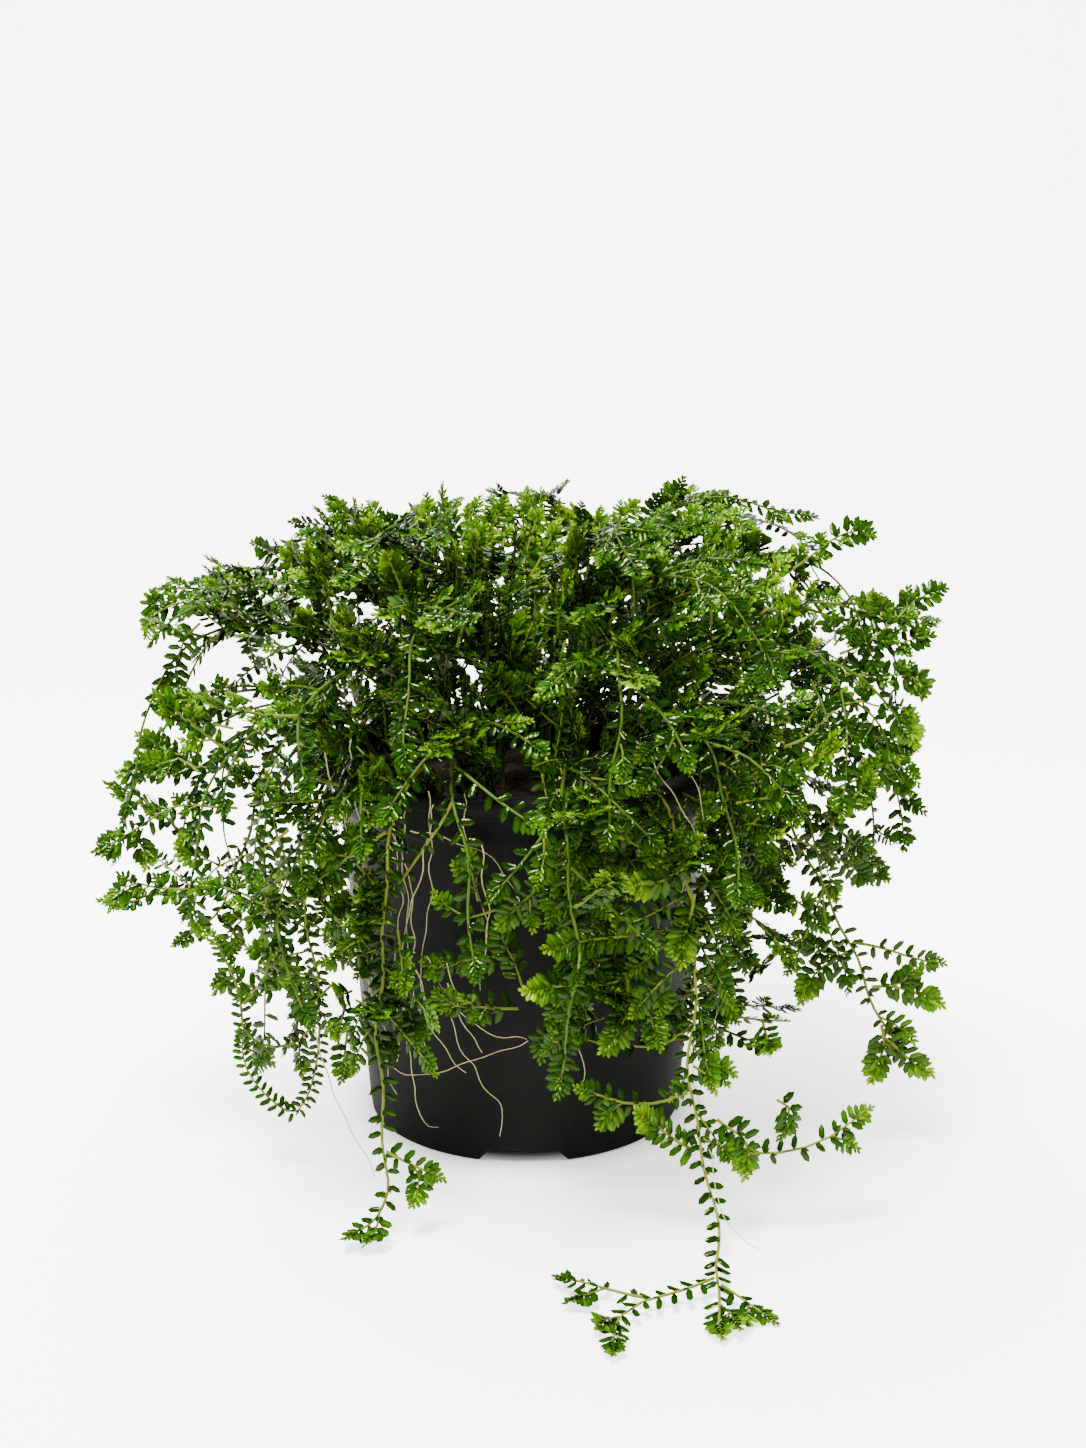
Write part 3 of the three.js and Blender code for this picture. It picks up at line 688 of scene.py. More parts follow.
KINDS = {
    "brush": dict(thick=0.5, leaf=1.2, gaps=-0.15, knob=9.0, twigs=0, old=-0.02, shade=0.3),
    "fern": dict(thick=0.42, leaf=1.14, gaps=0.45, knob=6.0, twigs=6.0, old=0.28, shade=0.5),
    "twig": dict(thick=0.36, leaf=1.05, gaps=-0.1, knob=8.0, twigs=0, old=0.16, shade=0.5),
    "loop": dict(thick=0.45, leaf=0.8, gaps=-0.3, knob=12.0, twigs=0, old=0.05, shade=0.1),
    "runner": dict(thick=0.42, leaf=0.85, gaps=0.7, knob=4.0, twigs=0, old=0.15, shade=0.2),
}
SET_SPRAYS = [  # the kind of shoot, and the points that its stem runs through
    ("brush", [(35, -72, 76), (29, -76, 76), (17, -80, 76), (6, -84, 75)]),
    ("brush", [(33, -70, 72), (30, -74, 67), (22, -78, 64), (11, -82, 65), (1, -86, 65)]),
    ("brush", [(26, -78, 65), (26, -79, 58), (24, -81, 53), (20, -82, 48)]),
    ("runner", [(42, -76, 52), (38, -74, 48), (32, -72, 45), (25, -70, 45), (17, -68, 45), (13, -66, 48),
         (11, -64, 53)]),
    ("twig", [(12, -66, 48), (8, -66, 46), (5, -66, 44), (5, -66, 39)]),
    ("runner", [(11, -70, 86), (5, -69, 82), (-2, -68, 80), (-8, -67, 79), (-12, -66, 77), (-18, -65, 79),
         (-22, -64, 83)]),
    ("runner", [(-17, -66, 107), (-20, -65, 101), (-24, -64, 95), (-30, -63, 86), (-35, -62, 80),
         (-40, -61, 73), (-43, -60, 66)]),
    ("runner", [(16, -72, 110), (12, -72, 104), (11, -71, 97), (10, -71, 90), (11, -70, 86),
         (14, -70, 83)]),
    ("runner", [(11, -72, 101), (17, -74, 101), (22, -75, 101), (29, -76, 98), (35, -78, 94)]),
    ("twig", [(5, -70, 115), (6, -71, 110), (7, -71, 106), (5, -72, 102)]),
    ("fern", [(-31, -62, 58), (-29, -63, 51), (-27, -65, 46), (-26, -66, 43)]),
    ("fern", [(-39, -58, 49), (-37, -59, 44), (-36, -61, 41), (-33, -62, 38)]),
    ("fern", [(-1, -64, 52), (-6, -64, 52), (-11, -63, 52), (-17, -62, 52), (-22, -62, 56)]),
    ("twig", [(0, -66, 59), (-2, -65, 65), (-5, -65, 71), (-6, -64, 76)]),
    ("fern", [(-2, -62, 66), (-8, -62, 65), (-15, -62, 64), (-21, -62, 62), (-25, -62, 64)]),
    ("fern", [(-11, -62, 80), (-12, -62, 85), (-13, -62, 89), (-14, -62, 93)]),
    ("brush", [(41, -76, 97), (37, -78, 92), (31, -80, 90), (26, -82, 90)]),
    ("brush", [(42, -78, 87), (41, -79, 81), (39, -79, 74), (39, -80, 70)]),
    ("twig", [(28, -76, 62), (32, -77, 62), (35, -77, 59), (34, -78, 56)]),
    ("runner", [(-58, -64, 99), (-65, -60, 93), (-73, -55, 89), (-79, -50, 85), (-85, -46, 78)]),
    ("fern", [(-85, -46, 78), (-90, -46, 78), (-96, -45, 78), (-102, -44, 79), (-109, -44, 74)]),
    ("twig", [(-85, -46, 78), (-86, -46, 74), (-86, -46, 70), (-83, -46, 65)]),
    ("twig", [(-78, -48, 85), (-83, -48, 87), (-87, -48, 88), (-89, -48, 91)]),
    ("fern", [(-73, -50, 101), (-79, -49, 101), (-86, -47, 101), (-91, -46, 100), (-99, -45, 95),
         (-105, -43, 91), (-112, -42, 87)]),
    ("fern", [(-83, -48, 110), (-88, -46, 113), (-94, -45, 111), (-101, -44, 109), (-105, -42, 108)]),
    ("fern", [(-74, -46, 121), (-81, -44, 122), (-86, -43, 123), (-91, -42, 127), (-95, -40, 129)]),
    ("twig", [(-86, -44, 113), (-91, -43, 114), (-96, -41, 116), (-100, -40, 118)]),
    ("fern", [(-74, -20, 146), (-80, -19, 149), (-88, -18, 150), (-94, -18, 149), (-100, -17, 149),
         (-100, -16, 152)]),
    ("twig", [(-94, -20, 149), (-98, -19, 147), (-101, -17, 144), (-102, -16, 140)]),
    ("twig", [(-83, -38, 147), (-87, -38, 143), (-89, -38, 138), (-91, -38, 131), (-94, -38, 128)]),
    ("fern", [(-53, -46, 65), (-58, -44, 67), (-64, -41, 71), (-68, -38, 74), (-72, -36, 78)]),
    ("fern", [(-66, -38, 69), (-72, -37, 68), (-77, -36, 65), (-79, -35, 60), (-79, -34, 55)]),
    ("twig", [(-58, -44, 60), (-66, -42, 58), (-71, -40, 59), (-74, -38, 59)]),
    ("fern", [(-65, -46, 50), (-72, -44, 50), (-77, -42, 52), (-83, -40, 49)]),
    ("twig", [(-86, -46, 100), (-83, -47, 97), (-86, -47, 93), (-89, -48, 91)]),
    ("twig", [(-99, -44, 94), (-100, -45, 90), (-98, -45, 87), (-98, -46, 84)]),
    ("twig", [(-55, -54, 126), (-60, -52, 124), (-64, -50, 126)]),
    ("fern", [(67, -36, 159), (73, -35, 163), (77, -34, 166), (82, -32, 169), (87, -31, 170),
         (91, -30, 169)]),
    ("twig", [(71, -32, 162), (71, -32, 165), (72, -32, 166)]),
    ("fern", [(82, -38, 139), (88, -36, 141), (94, -35, 145), (98, -33, 148), (102, -32, 152),
         (110, -30, 155)]),
    ("twig", [(95, -32, 144), (94, -32, 148), (92, -32, 151), (91, -32, 154)]),
    ("twig", [(91, -32, 152), (89, -32, 152), (87, -32, 152)]),
    ("fern", [(88, -36, 138), (93, -35, 141), (98, -34, 141), (102, -33, 142), (107, -32, 143)]),
    ("twig", [(96, -32, 146), (100, -32, 147), (102, -32, 148)]),
    ("fern", [(82, -38, 134), (89, -37, 133), (94, -36, 133), (99, -36, 133), (104, -35, 131),
         (105, -34, 127)]),
    ("twig", [(99, -34, 132), (103, -34, 132), (106, -34, 131)]),
    ("runner", [(66, -54, 118), (72, -52, 120), (77, -49, 124), (81, -47, 127), (86, -45, 128),
         (92, -43, 126), (98, -40, 125), (103, -38, 122)]),
    ("brush", [(96, -40, 125), (100, -39, 120), (103, -38, 115)]),
    ("twig", [(81, -44, 126), (82, -44, 129), (80, -44, 131)]),
    ("twig", [(87, -42, 127), (88, -42, 130), (87, -42, 132)]),
    ("fern", [(82, -44, 105), (88, -42, 107), (93, -40, 109), (98, -38, 111)]),
    ("twig", [(92, -40, 109), (96, -39, 106), (100, -39, 104), (102, -38, 102)]),
    ("fern", [(83, -26, 87), (89, -23, 83), (95, -21, 78), (101, -18, 72)]),
    ("twig", [(89, -24, 83), (93, -23, 83), (96, -22, 81)]),
    ("twig", [(81, -34, 81), (83, -32, 75), (85, -30, 70)]),
    ("twig", [(81, -36, 142), (81, -35, 145), (79, -35, 147), (82, -34, 148)]),
    ("brush", [(89, -38, 59), (84, -38, 56), (78, -38, 51), (75, -38, 44)]),
    ("twig", [(84, -38, 57), (80, -38, 58), (76, -38, 61), (73, -38, 62)]),
    ("brush", [(94, -38, 48), (100, -38, 48), (106, -38, 46), (113, -38, 43)]),
    ("twig", [(99, -38, 48), (103, -38, 50), (105, -38, 53), (107, -38, 54)]),
    ("brush", [(97, -38, 37), (98, -38, 31), (96, -38, 25), (95, -38, 21)]),
    ("brush", [(97, -38, 34), (102, -38, 30), (106, -38, 26), (111, -38, 23)]),
    ("twig", [(42, -84, 45), (45, -84, 43), (48, -84, 45), (52, -84, 43)]),
    ("brush", [(48, -84, 31), (51, -85, 29), (55, -85, 26), (55, -86, 17)]),
    ("twig", [(62, -88, 38), (65, -88, 36), (65, -88, 32), (63, -88, 28)]),
    ("loop", [(-53, -54, 43), (-54, -53, 34), (-57, -53, 23), (-61, -52, 18), (-68, -52, 23),
         (-73, -51, 30), (-74, -51, 37), (-73, -50, 43)]),
    ("twig", [(-73, -52, 36), (-70, -52, 35), (-68, -52, 34), (-66, -52, 32)]),
    ("fern", [(-79, -46, 110), (-86, -45, 111), (-92, -45, 110), (-99, -44, 113)]),
    ("fern", [(-69, -46, 128), (-78, -45, 131), (-86, -45, 128), (-93, -44, 129)]),
    ("brush", [(45, -84, 23), (41, -85, 24), (34, -85, 29), (28, -86, 34)]),
    ("fern", [(70, -44, 91), (78, -43, 88), (86, -41, 83), (92, -40, 78)]),
    ("fern", [(65, -44, 80), (72, -43, 74), (77, -41, 69), (81, -40, 65)]),
]

TANGLES = [  # a corner, the opposite corner, how many short sprays, and where they lean
    ((-54, -66, 46), (-28, -58, 98), 16, (-0.2, -0.5, -0.2)),
    ((-46, -78, 52), (-29, -70, 96), 12, (0.1, -0.6, -0.2)),
    ((8, -74, 80), (34, -62, 112), 12, (0.2, -0.8, -0.1)),
    ((34, -76, 48), (60, -50, 108), 36, (0.4, -0.6, -0.2)),
    ((14, -76, 50), (34, -66, 78), 8, (0.1, -0.7, -0.3)),
    ((50, -44, 84), (76, 4, 126), 40, (0.3, -0.5, -0.2)),
    ((-58, -50, 84), (-40, -20, 120), 8, (-0.2, -0.5, 0.1)),
]


def outer_growth():
    """Sprays at the mound's edge that stand out to the sides."""
    growth = Growth(77)
    for root, way, length, bend in OUTER_SPRAYS:
        # The edge sprays are painted darker than the rest, as painted shade.
        free_spray(growth, root, way, length, bend=bend, roll=growth.rng.uniform(-0.7, 0.7), old=0.25)
    return growth


def set_growth():
    """Shoots whose stems run through given points, with their leaves spread to the front."""
    growth = Growth(78)
    rng = growth.rng
    for kind, points in SET_SPRAYS:
        spots = resampled(smooth_line(points), LINE_STEP, 5)
        face = np.array([0, -1, 0.45]) + rng.uniform(-0.35, 0.35, 3)
        forked(growth, spots, np.tile(face, (len(spots), 1)), **KINDS[kind])
    for low, high, count, lean in TANGLES:
        for root in rng.uniform(low, high, (count, 3)):
            way = rng.uniform(-1, 1, 3) + lean
            length, bend = rng.uniform(12, 19), way + (0, 0, rng.uniform(-1, 0.6))
            free_spray(growth, root, way, length, bend=bend, roll=rng.uniform(-1.2, 1.2), twigs=6.5,
                       thick=0.4, old=0.15)
    return growth


DOME_HEART = np.array([0.0, 0.0, 95.0])
DOME_REACH = ((0, 10, 25, 40, 54, 72, 90), (106, 108, 110, 103, 92, 80, 72))  # degrees up, leaves' distance
GOLDEN_ANGLE = 137.508


def dome_ways(count, low, high):
    """Ways out of the dome's heart, evenly spread from low to high in degrees, and its reach along each."""
    steep = np.linspace(math.sin(math.radians(low)), math.sin(math.radians(high)), count)
    lift = np.degrees(np.arcsin(steep))
    a, b = np.radians(np.arange(count) * GOLDEN_ANGLE), np.radians(lift)
    ways = np.column_stack([np.cos(b) * np.cos(a), np.cos(b) * np.sin(a), np.sin(b)])
    return ways, np.interp(lift, *DOME_REACH)


def dome_growth(seed, count, low, high, depth, length, lean, old, twigs):
    """Sprays rooted at a depth under the dome's outside, that stand out of it every which way."""
    growth = Growth(seed)
    rng = growth.rng
    for out, reach in zip(*dome_ways(count, low, high)):
        root = DOME_HEART + out * (reach - rng.uniform(*depth))
        if airy(root * 1.1, rng):
            continue
        way = out + rng.uniform(-lean, lean, 3) + (0, 0, 0.3)
        long, bend = rng.uniform(*length), way + (0, 0, rng.uniform(-0.9, 0.7))
        free_spray(growth, root, way, long, bend=bend, roll=rng.uniform(-1.2, 1.2), twigs=twigs, old=old)
    return growth


# ---- mesh helpers
def placed(points):
    """Millimetres round the pot's axis as metres in the model's frame."""
    return np.asarray(points, float) * MM + POT_AXIS


def put_in_scene(name, data):
    thing = bpy.data.objects.new(name, data)
    bpy.context.scene.collection.objects.link(thing)
    return thing


def mesh_object(name, points, faces, edges=()):
    mesh = bpy.data.meshes.new(name)
    mesh.from_pydata([tuple(p) for p in points], list(edges), list(faces))
    mesh.validate()
    return put_in_scene(name, mesh)


def evaluated_mesh(thing):
    """What the thing's modifiers make of it, as a plain mesh."""
    graph = bpy.context.evaluated_depsgraph_get()
    return bpy.data.meshes.new_from_object(thing.evaluated_get(graph), depsgraph=graph)


def corners(*numbers):
    """A face's corners, with those that fall together taken once."""
    return list(dict.fromkeys(numbers))


def set_numbers(mesh, name, kind, values, field="value"):
    layer = mesh.attributes.new(name, kind, "POINT")
    layer.data.foreach_set(field, np.asarray(values).ravel())


def leaf_shape(name, rows, tip_drop, rim_drop):
    """One thin closed leaf, 1 long along X and 1 wide: a ridged face over a flat back.

    The rows are (x, half width) between its two ends.
    """
    points = [(0, 0, 0), (1, 0, -tip_drop)]
    left, right, ridge = [], [], []
    for x, half in rows:
        z = -tip_drop * x**2.2
        for chain, y, drop in ((left, half, rim_drop), (right, -half, rim_drop), (ridge, 0, -0.01)):
            chain.append(len(points))
            points.append((x, y, z - drop))
    faces = []
    middle = [0, *ridge, 1]
    for edge, onward in ((left, 1), (right, -1)):
        rim = [0, *edge, 1]
        for i in range(len(rim) - 1):
            faces.append(corners(middle[i], middle[i + 1], rim[i + 1], rim[i])[::onward])
    faces.append([0, *left, 1, *right[::-1]])
    leaf = mesh_object(name, points, faces)
    mesh = leaf.data
    set_numbers(mesh, "along", "FLOAT", [p[0] for p in points])
    set_numbers(mesh, "across", "FLOAT", [abs(p[1]) * 2 for p in points])
    rim = set(left + right + [0, 1])
    sharp = [all(v in rim for v in e.vertices) for e in mesh.edges]
    mesh.attributes.new("sharp_edge", "BOOLEAN", "EDGE").data.foreach_set("value", sharp)
    mesh.polygons.foreach_set("use_smooth", [True] * len(mesh.polygons))
    return leaf


# ---- node trees for what repeats
def new_tree(name, inputs):
    tree = bpy.data.node_groups.new(name, "GeometryNodeTree")
    tree.interface.new_socket("Geometry", in_out="INPUT", socket_type="NodeSocketGeometry")
    for label, kind, value in inputs:
        socket = tree.interface.new_socket(label, in_out="INPUT", socket_type=kind)
        if value is not None:
            socket.default_value = value
    tree.interface.new_socket("Geometry", in_out="OUTPUT", socket_type="NodeSocketGeometry")
    start = tree.nodes.new("NodeGroupInput")
    end = tree.nodes.new("NodeGroupOutput")
    return tree, start, end


def node(tree, kind, links=(), **settings):
    """A node with its settings, and its inputs linked or set by number or name."""
    made = tree.nodes.new(kind)
    for key, value in settings.items():
        setattr(made, key, value)
    for where, value in dict(links).items():
        socket = made.inputs[where]
        if isinstance(value, bpy.types.NodeSocket):
            tree.links.new(value, socket)
        else:
            socket.default_value = value
    return made


def attribute(tree, name, kind):
    return node(tree, "GeometryNodeInputNamedAttribute", {"Name": name}, data_type=kind).outputs[0]


def sums(tree, operation, a, b, c=0.0, clamp=False):
    links = {0: a, 1: b, 2: c}
    return node(tree, "ShaderNodeMath", links, operation=operation, use_clamp=clamp).outputs[0]


def joined(tree, parts):
    """The parts as one geometry."""
    both = node(tree, "GeometryNodeJoinGeometry")
    for part in parts:
        tree.links.new(part, both.inputs[0])
    return both.outputs[0]


def tubes(tree, edges, sides):
    """Round tubes along the edges, as thick as their points say."""
    lines = node(tree, "GeometryNodeMeshToCurve", {0: edges})
    ring = node(tree, "GeometryNodeCurvePrimitiveCircle", {"Resolution": sides, "Radius": 1.0})
    return node(tree, "GeometryNodeCurveToMesh", {
        "Curve": lines.outputs[0], "Profile Curve": ring.outputs[0],
        "Scale": attribute(tree, "thick", "FLOAT"), "Fill Caps": True,
    }).outputs[0]


def finished(tree, shape, finish):
    return node(tree, "GeometryNodeSetMaterial", {0: shape, "Material": finish}).outputs[0]


def leafy_tree():
    """Tubes along the stem lines, and a leaf of its kind on each leaf place."""
    tree, start, end = new_tree("leafy stems", [
        ("Stem sides", "NodeSocketInt", 4),
        ("Leaf length", "NodeSocketFloat", LEAF_LENGTH * MM),
        ("Leaf width", "NodeSocketFloat", LEAF_WIDTH),
        ("Seed", "NodeSocketInt", 5),
        ("Side leaf", "NodeSocketObject", None),
        ("Top leaf", "NodeSocketObject", None),
        ("Stem finish", "NodeSocketMaterial", None),
        ("Leaf finish", "NodeSocketMaterial", None),
    ])
    given = start.outputs
    kind = attribute(tree, "kind", "INT")

    def is_kind(number):
        links = {2: kind, 3: number}
        return node(tree, "FunctionNodeCompare", links, data_type="INT", operation="EQUAL").outputs[0]

    stems = node(tree, "GeometryNodeSeparateGeometry", {0: given["Geometry"], 1: is_kind(0)}, domain="POINT")
    stem_tubes = tubes(tree, stems.outputs[0], given["Stem sides"])
    length = sums(tree, "MULTIPLY", attribute(tree, "size", "FLOAT"), given["Leaf length"])
    broad = sums(tree, "MULTIPLY", attribute(tree, "wide", "FLOAT"), given["Leaf width"])
    width = sums(tree, "MULTIPLY", length, broad)
    scale = node(tree, "ShaderNodeCombineXYZ", {0: length, 1: width, 2: length}).outputs[0]
    turn = node(tree, "FunctionNodeEulerToRotation", {0: attribute(tree, "turn", "FLOAT_VECTOR")}).outputs[0]
    sets = []
    for number, label in ((SIDE, "Side leaf"), (TOP, "Top leaf")):
        shape = node(tree, "GeometryNodeObjectInfo", {"Object": given[label]}).outputs["Geometry"]
        sets.append(node(tree, "GeometryNodeInstanceOnPoints", {
            "Points": given["Geometry"], "Selection": is_kind(number), "Instance": shape,
            "Rotation": turn, "Scale": scale,
        }).outputs[0])
    chance = node(tree, "FunctionNodeRandomValue", {"Seed": given["Seed"]}, data_type="FLOAT")
    toned = node(tree, "GeometryNodeStoreNamedAttribute", {
        "Geometry": joined(tree, sets), "Name": "tone", "Value": chance.outputs[1],
    }, data_type="FLOAT", domain="INSTANCE")
    real = node(tree, "GeometryNodeRealizeInstances", {0: toned.outputs[0]})
    leaves = finished(tree, real.outputs[0], given["Leaf finish"])
    stems = finished(tree, stem_tubes, given["Stem finish"])
    tree.links.new(joined(tree, [leaves, stems]), end.inputs[0])
    return tree


def made_by(tree, base, values):
    """Runs the tree on the base object and returns its result as a plain mesh object in the base's place."""
    modifier = base.modifiers.new("growth", "NODES")
    modifier.node_group = tree
    names = {item.name: item.identifier for item in tree.interface.items_tree if item.in_out == "INPUT"}
    for label, value in values.items():
        modifier[names[label]] = value
    mesh = evaluated_mesh(base)
    name = base.name
    bpy.data.objects.remove(base)
    mesh.name = name
    return put_in_scene(name, mesh)


def base_of(name, growth):
    """The stem lines and leaf places of a spray, as one mesh of edges and loose points."""
    points, edges, thick, shades = [], [], [], []
    count = 0
    for spots, radii, shade in growth.lines:
        points.append(spots)
        edges.extend((count + i, count + i + 1) for i in range(len(spots) - 1))
        thick.append(radii * MM)
        shades.append(shade)
        count += len(spots)
    leaves = {key: np.concatenate(value) for key, value in growth.leaves.items()}
    loose = len(leaves["size"])
    spots = np.vstack([*points, leaves["spot"]])
    base = mesh_object(name, placed(spots), (), edges)
    mesh = base.data
    set_numbers(mesh, "kind", "INT", np.concatenate([np.zeros(count), leaves["kind"]]).astype(int))
    set_numbers(mesh, "thick", "FLOAT", np.concatenate([*thick, np.zeros(loose)]))
    # Stems keep their shade value, painted shade included, in the attribute that holds the leaves' age.
    for key, first in (("age", np.concatenate(shades)), ("size", np.zeros(count)), ("wide", np.zeros(count))):
        set_numbers(mesh, key, "FLOAT", np.concatenate([first, leaves[key]]))
    turn = np.vstack([np.zeros((count, 3)), leaves["turn"]])
    set_numbers(mesh, "turn", "FLOAT_VECTOR", turn, "vector")
    return base


# ---- finishes
def material(name):
    """A new material, and its empty tree."""
    made = bpy.data.materials.new(name)
    made.use_nodes = True
    made.node_tree.nodes.clear()
    return made, made.node_tree


def ramp(tree, value, stops):
    made = node(tree, "ShaderNodeValToRGB", {0: value})
    steps = made.color_ramp.elements
    while len(steps) < len(stops):
        steps.new(0.5)
    for step, (at, colour) in zip(steps, stops):
        step.position = at
        step.color = (*colour, 1)
    return made.outputs[0]


def noise(tree, scale, detail=3.0, rough=0.5):
    where = node(tree, "ShaderNodeTexCoord").outputs["Object"]
    return node(tree, "ShaderNodeTexNoise",
                {"Vector": where, "Scale": scale, "Detail": detail, "Roughness": rough}).outputs[0]


def painted(tree, name):
    return node(tree, "ShaderNodeAttribute", attribute_name=name).outputs["Fac"]


def tinted(tree, colour, by):
    links = {0: 1.0, 6: colour, 7: by}
    return node(tree, "ShaderNodeMix", links, data_type="RGBA", blend_type="MULTIPLY").outputs[2]


def bumps(tree, height, strength, distance):
    links = {"Height": height, "Strength": strength, "Distance": distance}
    return node(tree, "ShaderNodeBump", links).outputs[0]


def mapped(tree, value, low, high, to_low, to_high, curve="LINEAR"):
    """The value with its range low to high turned into to_low to to_high, and held there outside it."""
    links = {"Value": value, "From Min": low, "From Max": high, "To Min": to_low, "To Max": to_high}
    return node(tree, "ShaderNodeMapRange", links, interpolation_type=curve).outputs[0]


def shader(tree, inputs):
    return node(tree, "ShaderNodeBsdfPrincipled", inputs).outputs[0]


def put_out(tree, surface):
    node(tree, "ShaderNodeOutputMaterial", {0: surface})


def leaf_finish():
    """Yellow-green when young, deep green when older, with a satin waxy face. Painted shade darkens each leaf
    at its heel, where the leaves overlap, and from the paler rib towards its edges; leaves standing in shade
    on the mound's outside and deep inside it are painted darker too.
    """
    made, tree = material("spikemoss leaf")
    varied = sums(tree, "MULTIPLY_ADD", painted(tree, "tone"), 0.34, -0.17)
    drift = sums(tree, "MULTIPLY_ADD", noise(tree, 38.0), 0.9, -0.45)
    at = sums(tree, "ADD", sums(tree, "ADD", painted(tree, "age"), varied), drift, clamp=True)
    body = ramp(tree, at, [
        (0.0, (0.215, 0.400, 0.001)), (0.2, (0.072, 0.188, 0.001)), (0.5, (0.016, 0.066, 0.0008)),
        (1.0, (0.0045, 0.024, 0.0008)),
    ])
    # Painted shade between neighbouring leaves: full colour on the rib, half at the edges.
    rib = ramp(tree, painted(tree, "across"), [
        (0.0, (1.0, 1.0, 0.9)), (0.3, (0.8, 0.8, 0.8)), (1.0, (0.5, 0.55, 0.5)),
    ])
    # Painted shade where a leaf's heel sits under its neighbours: darkest at the base.
    painted_heel_shade = ramp(tree, painted(tree, "along"), [(0.0, (0.14, 0.18, 0.14)), (0.5, (1, 1, 1)), (1.0, (1, 1, 1))])
    colour = tinted(tree, tinted(tree, body, rib), painted_heel_shade)
    face = shader(tree, {
        "Base Color": colour, "Normal": bumps(tree, noise(tree, 620.0, 2.0), 0.5, 0.0005), "Roughness": 0.15,
        "Specular IOR Level": 0.24, "Specular Tint": (0.8, 1.0, 0.35, 1),
    })
    glow = node(tree, "ShaderNodeBsdfTranslucent", {"Color": colour}).outputs[0]
    put_out(tree, node(tree, "ShaderNodeMixShader", {0: 0.13, 1: face, 2: glow}).outputs[0])
    return made


def stem_finish():
    """Pale green with brown patches on the runners, darker green inside the mound with painted shade there.
    """
    made, tree = material("spikemoss stem")
    pale = ramp(tree, noise(tree, 220.0), [
        (0.3, (0.100, 0.150, 0.004)), (0.55, (0.190, 0.215, 0.016)), (0.75, (0.110, 0.075, 0.010)),
    ])
    # Painted shade: the shade value darkens the stem towards deep green.
    shade = ramp(tree, painted(tree, "age"), [(0.0, (1.0, 1.0, 1.0)), (1.0, (0.15, 0.34, 0.15))])
    colour = tinted(tree, pale, shade)
    put_out(tree, shader(tree, {"Base Color": colour, "Roughness": 0.45, "Specular IOR Level": 0.12}))
    return made


def pot_finish():
    """Charcoal moulded plastic: satin, with patches that are a little paler and duller."""
    made, tree = material("pot plastic")
    cloud = noise(tree, 26.0, 5.0, 0.6)
    colour = ramp(tree, cloud, [(0.3, (0.0042, 0.0044, 0.0037)), (0.7, (0.0080, 0.0084, 0.0072))])
    dull = mapped(tree, noise(tree, 90.0, 6.0, 0.65), 0.0, 1.0, 0.36, 0.58)
    grain = bumps(tree, noise(tree, 900.0, 2.0), 0.10, 0.0004)
    put_out(tree, shader(tree, {
        "Base Color": colour, "Roughness": dull, "Normal": grain, "Specular IOR Level": 0.04,
    }))
    return made


def soil_finish():
    made, tree = material("moist peat")
    colour = ramp(tree, noise(tree, 320.0, 6.0, 0.7), [
        (0.3, (0.006, 0.004, 0.0025)), (0.6, (0.022, 0.014, 0.008)), (0.8, (0.045, 0.030, 0.017)),
    ])
    lumps = bumps(tree, noise(tree, 500.0, 5.0), 0.7, 0.002)
    put_out(tree, shader(tree, {
        "Base Color": colour, "Roughness": 0.92, "Normal": lumps, "Specular IOR Level": 0.1,
    }))
    return made


def root_finish():
    made, tree = material("pale aerial root")
    colour = ramp(tree, noise(tree, 160.0), [(0.3, (0.26, 0.27, 0.07)), (0.7, (0.50, 0.46, 0.20))])
    put_out(tree, shader(tree, {"Base Color": colour, "Roughness": 0.5}))
    return made


# ---- pot and soil
POT_HEIGHT, LIP_RADIUS, BAND_RADIUS, FOOT_RADIUS = 105.0, 60.0, 53.8, 45.3
WALL, POT_FLOOR, LIP_DROP = 1.3, 6.0, 4.0
BAND_DROP, FOOT_RING = 14.0, 3.4  # the band under the rim, and the ring's width that the pot stands on
NOTCH_HALF, NOTCH_TOP, NOTCH_RISE = 12.5, 9.25, 3.7  # half widths below and above, and height
DRAIN_OUT, DRAIN_RADIUS = 24, 4
POT_SIDES, DRAIN_SIDES, SOIL_SIDES = 144, 24, 120
SOIL_TOP, SOIL_EDGE = 98, 93.8  # heights in the middle and at the wall


def wall_radius(z):
    return FOOT_RADIUS + (BAND_RADIUS - 0.9 - FOOT_RADIUS) * z / (POT_HEIGHT - LIP_DROP)


def turned(name, outline, segments):
    """A closed solid turned round the pot's axis from an outline that starts and ends on it."""
    around = [2 * math.pi * k / segments for k in range(segments)]
    points, rings = [], []
    for r, z in outline:
        if r == 0:
            points.append((0, 0, z))
            rings.append([len(points) - 1] * segments)
        else:
            rings.append(list(range(len(points), len(points) + segments)))
            points.extend((r * math.cos(a), r * math.sin(a), z) for a in around)
    faces = []
    for low, high in zip(rings, rings[1:]):
        for k in range(segments):
            n = (k + 1) % segments
            faces.append(corners(low[k], low[n], high[n], high[k]))
    return mesh_object(name, placed(points), faces)


def cut(thing, cutters):
    """Takes the cutters out of the thing and returns it as a plain mesh."""
    for cutter in cutters:
        tidy(cutter)
        modifier = thing.modifiers.new("cut", "BOOLEAN")
        modifier.object = cutter
        modifier.solver = "EXACT"
    mesh = evaluated_mesh(thing)
    thing.modifiers.clear()
    thing.data = mesh
    for cutter in cutters:
        bpy.data.objects.remove(cutter)
    return thing


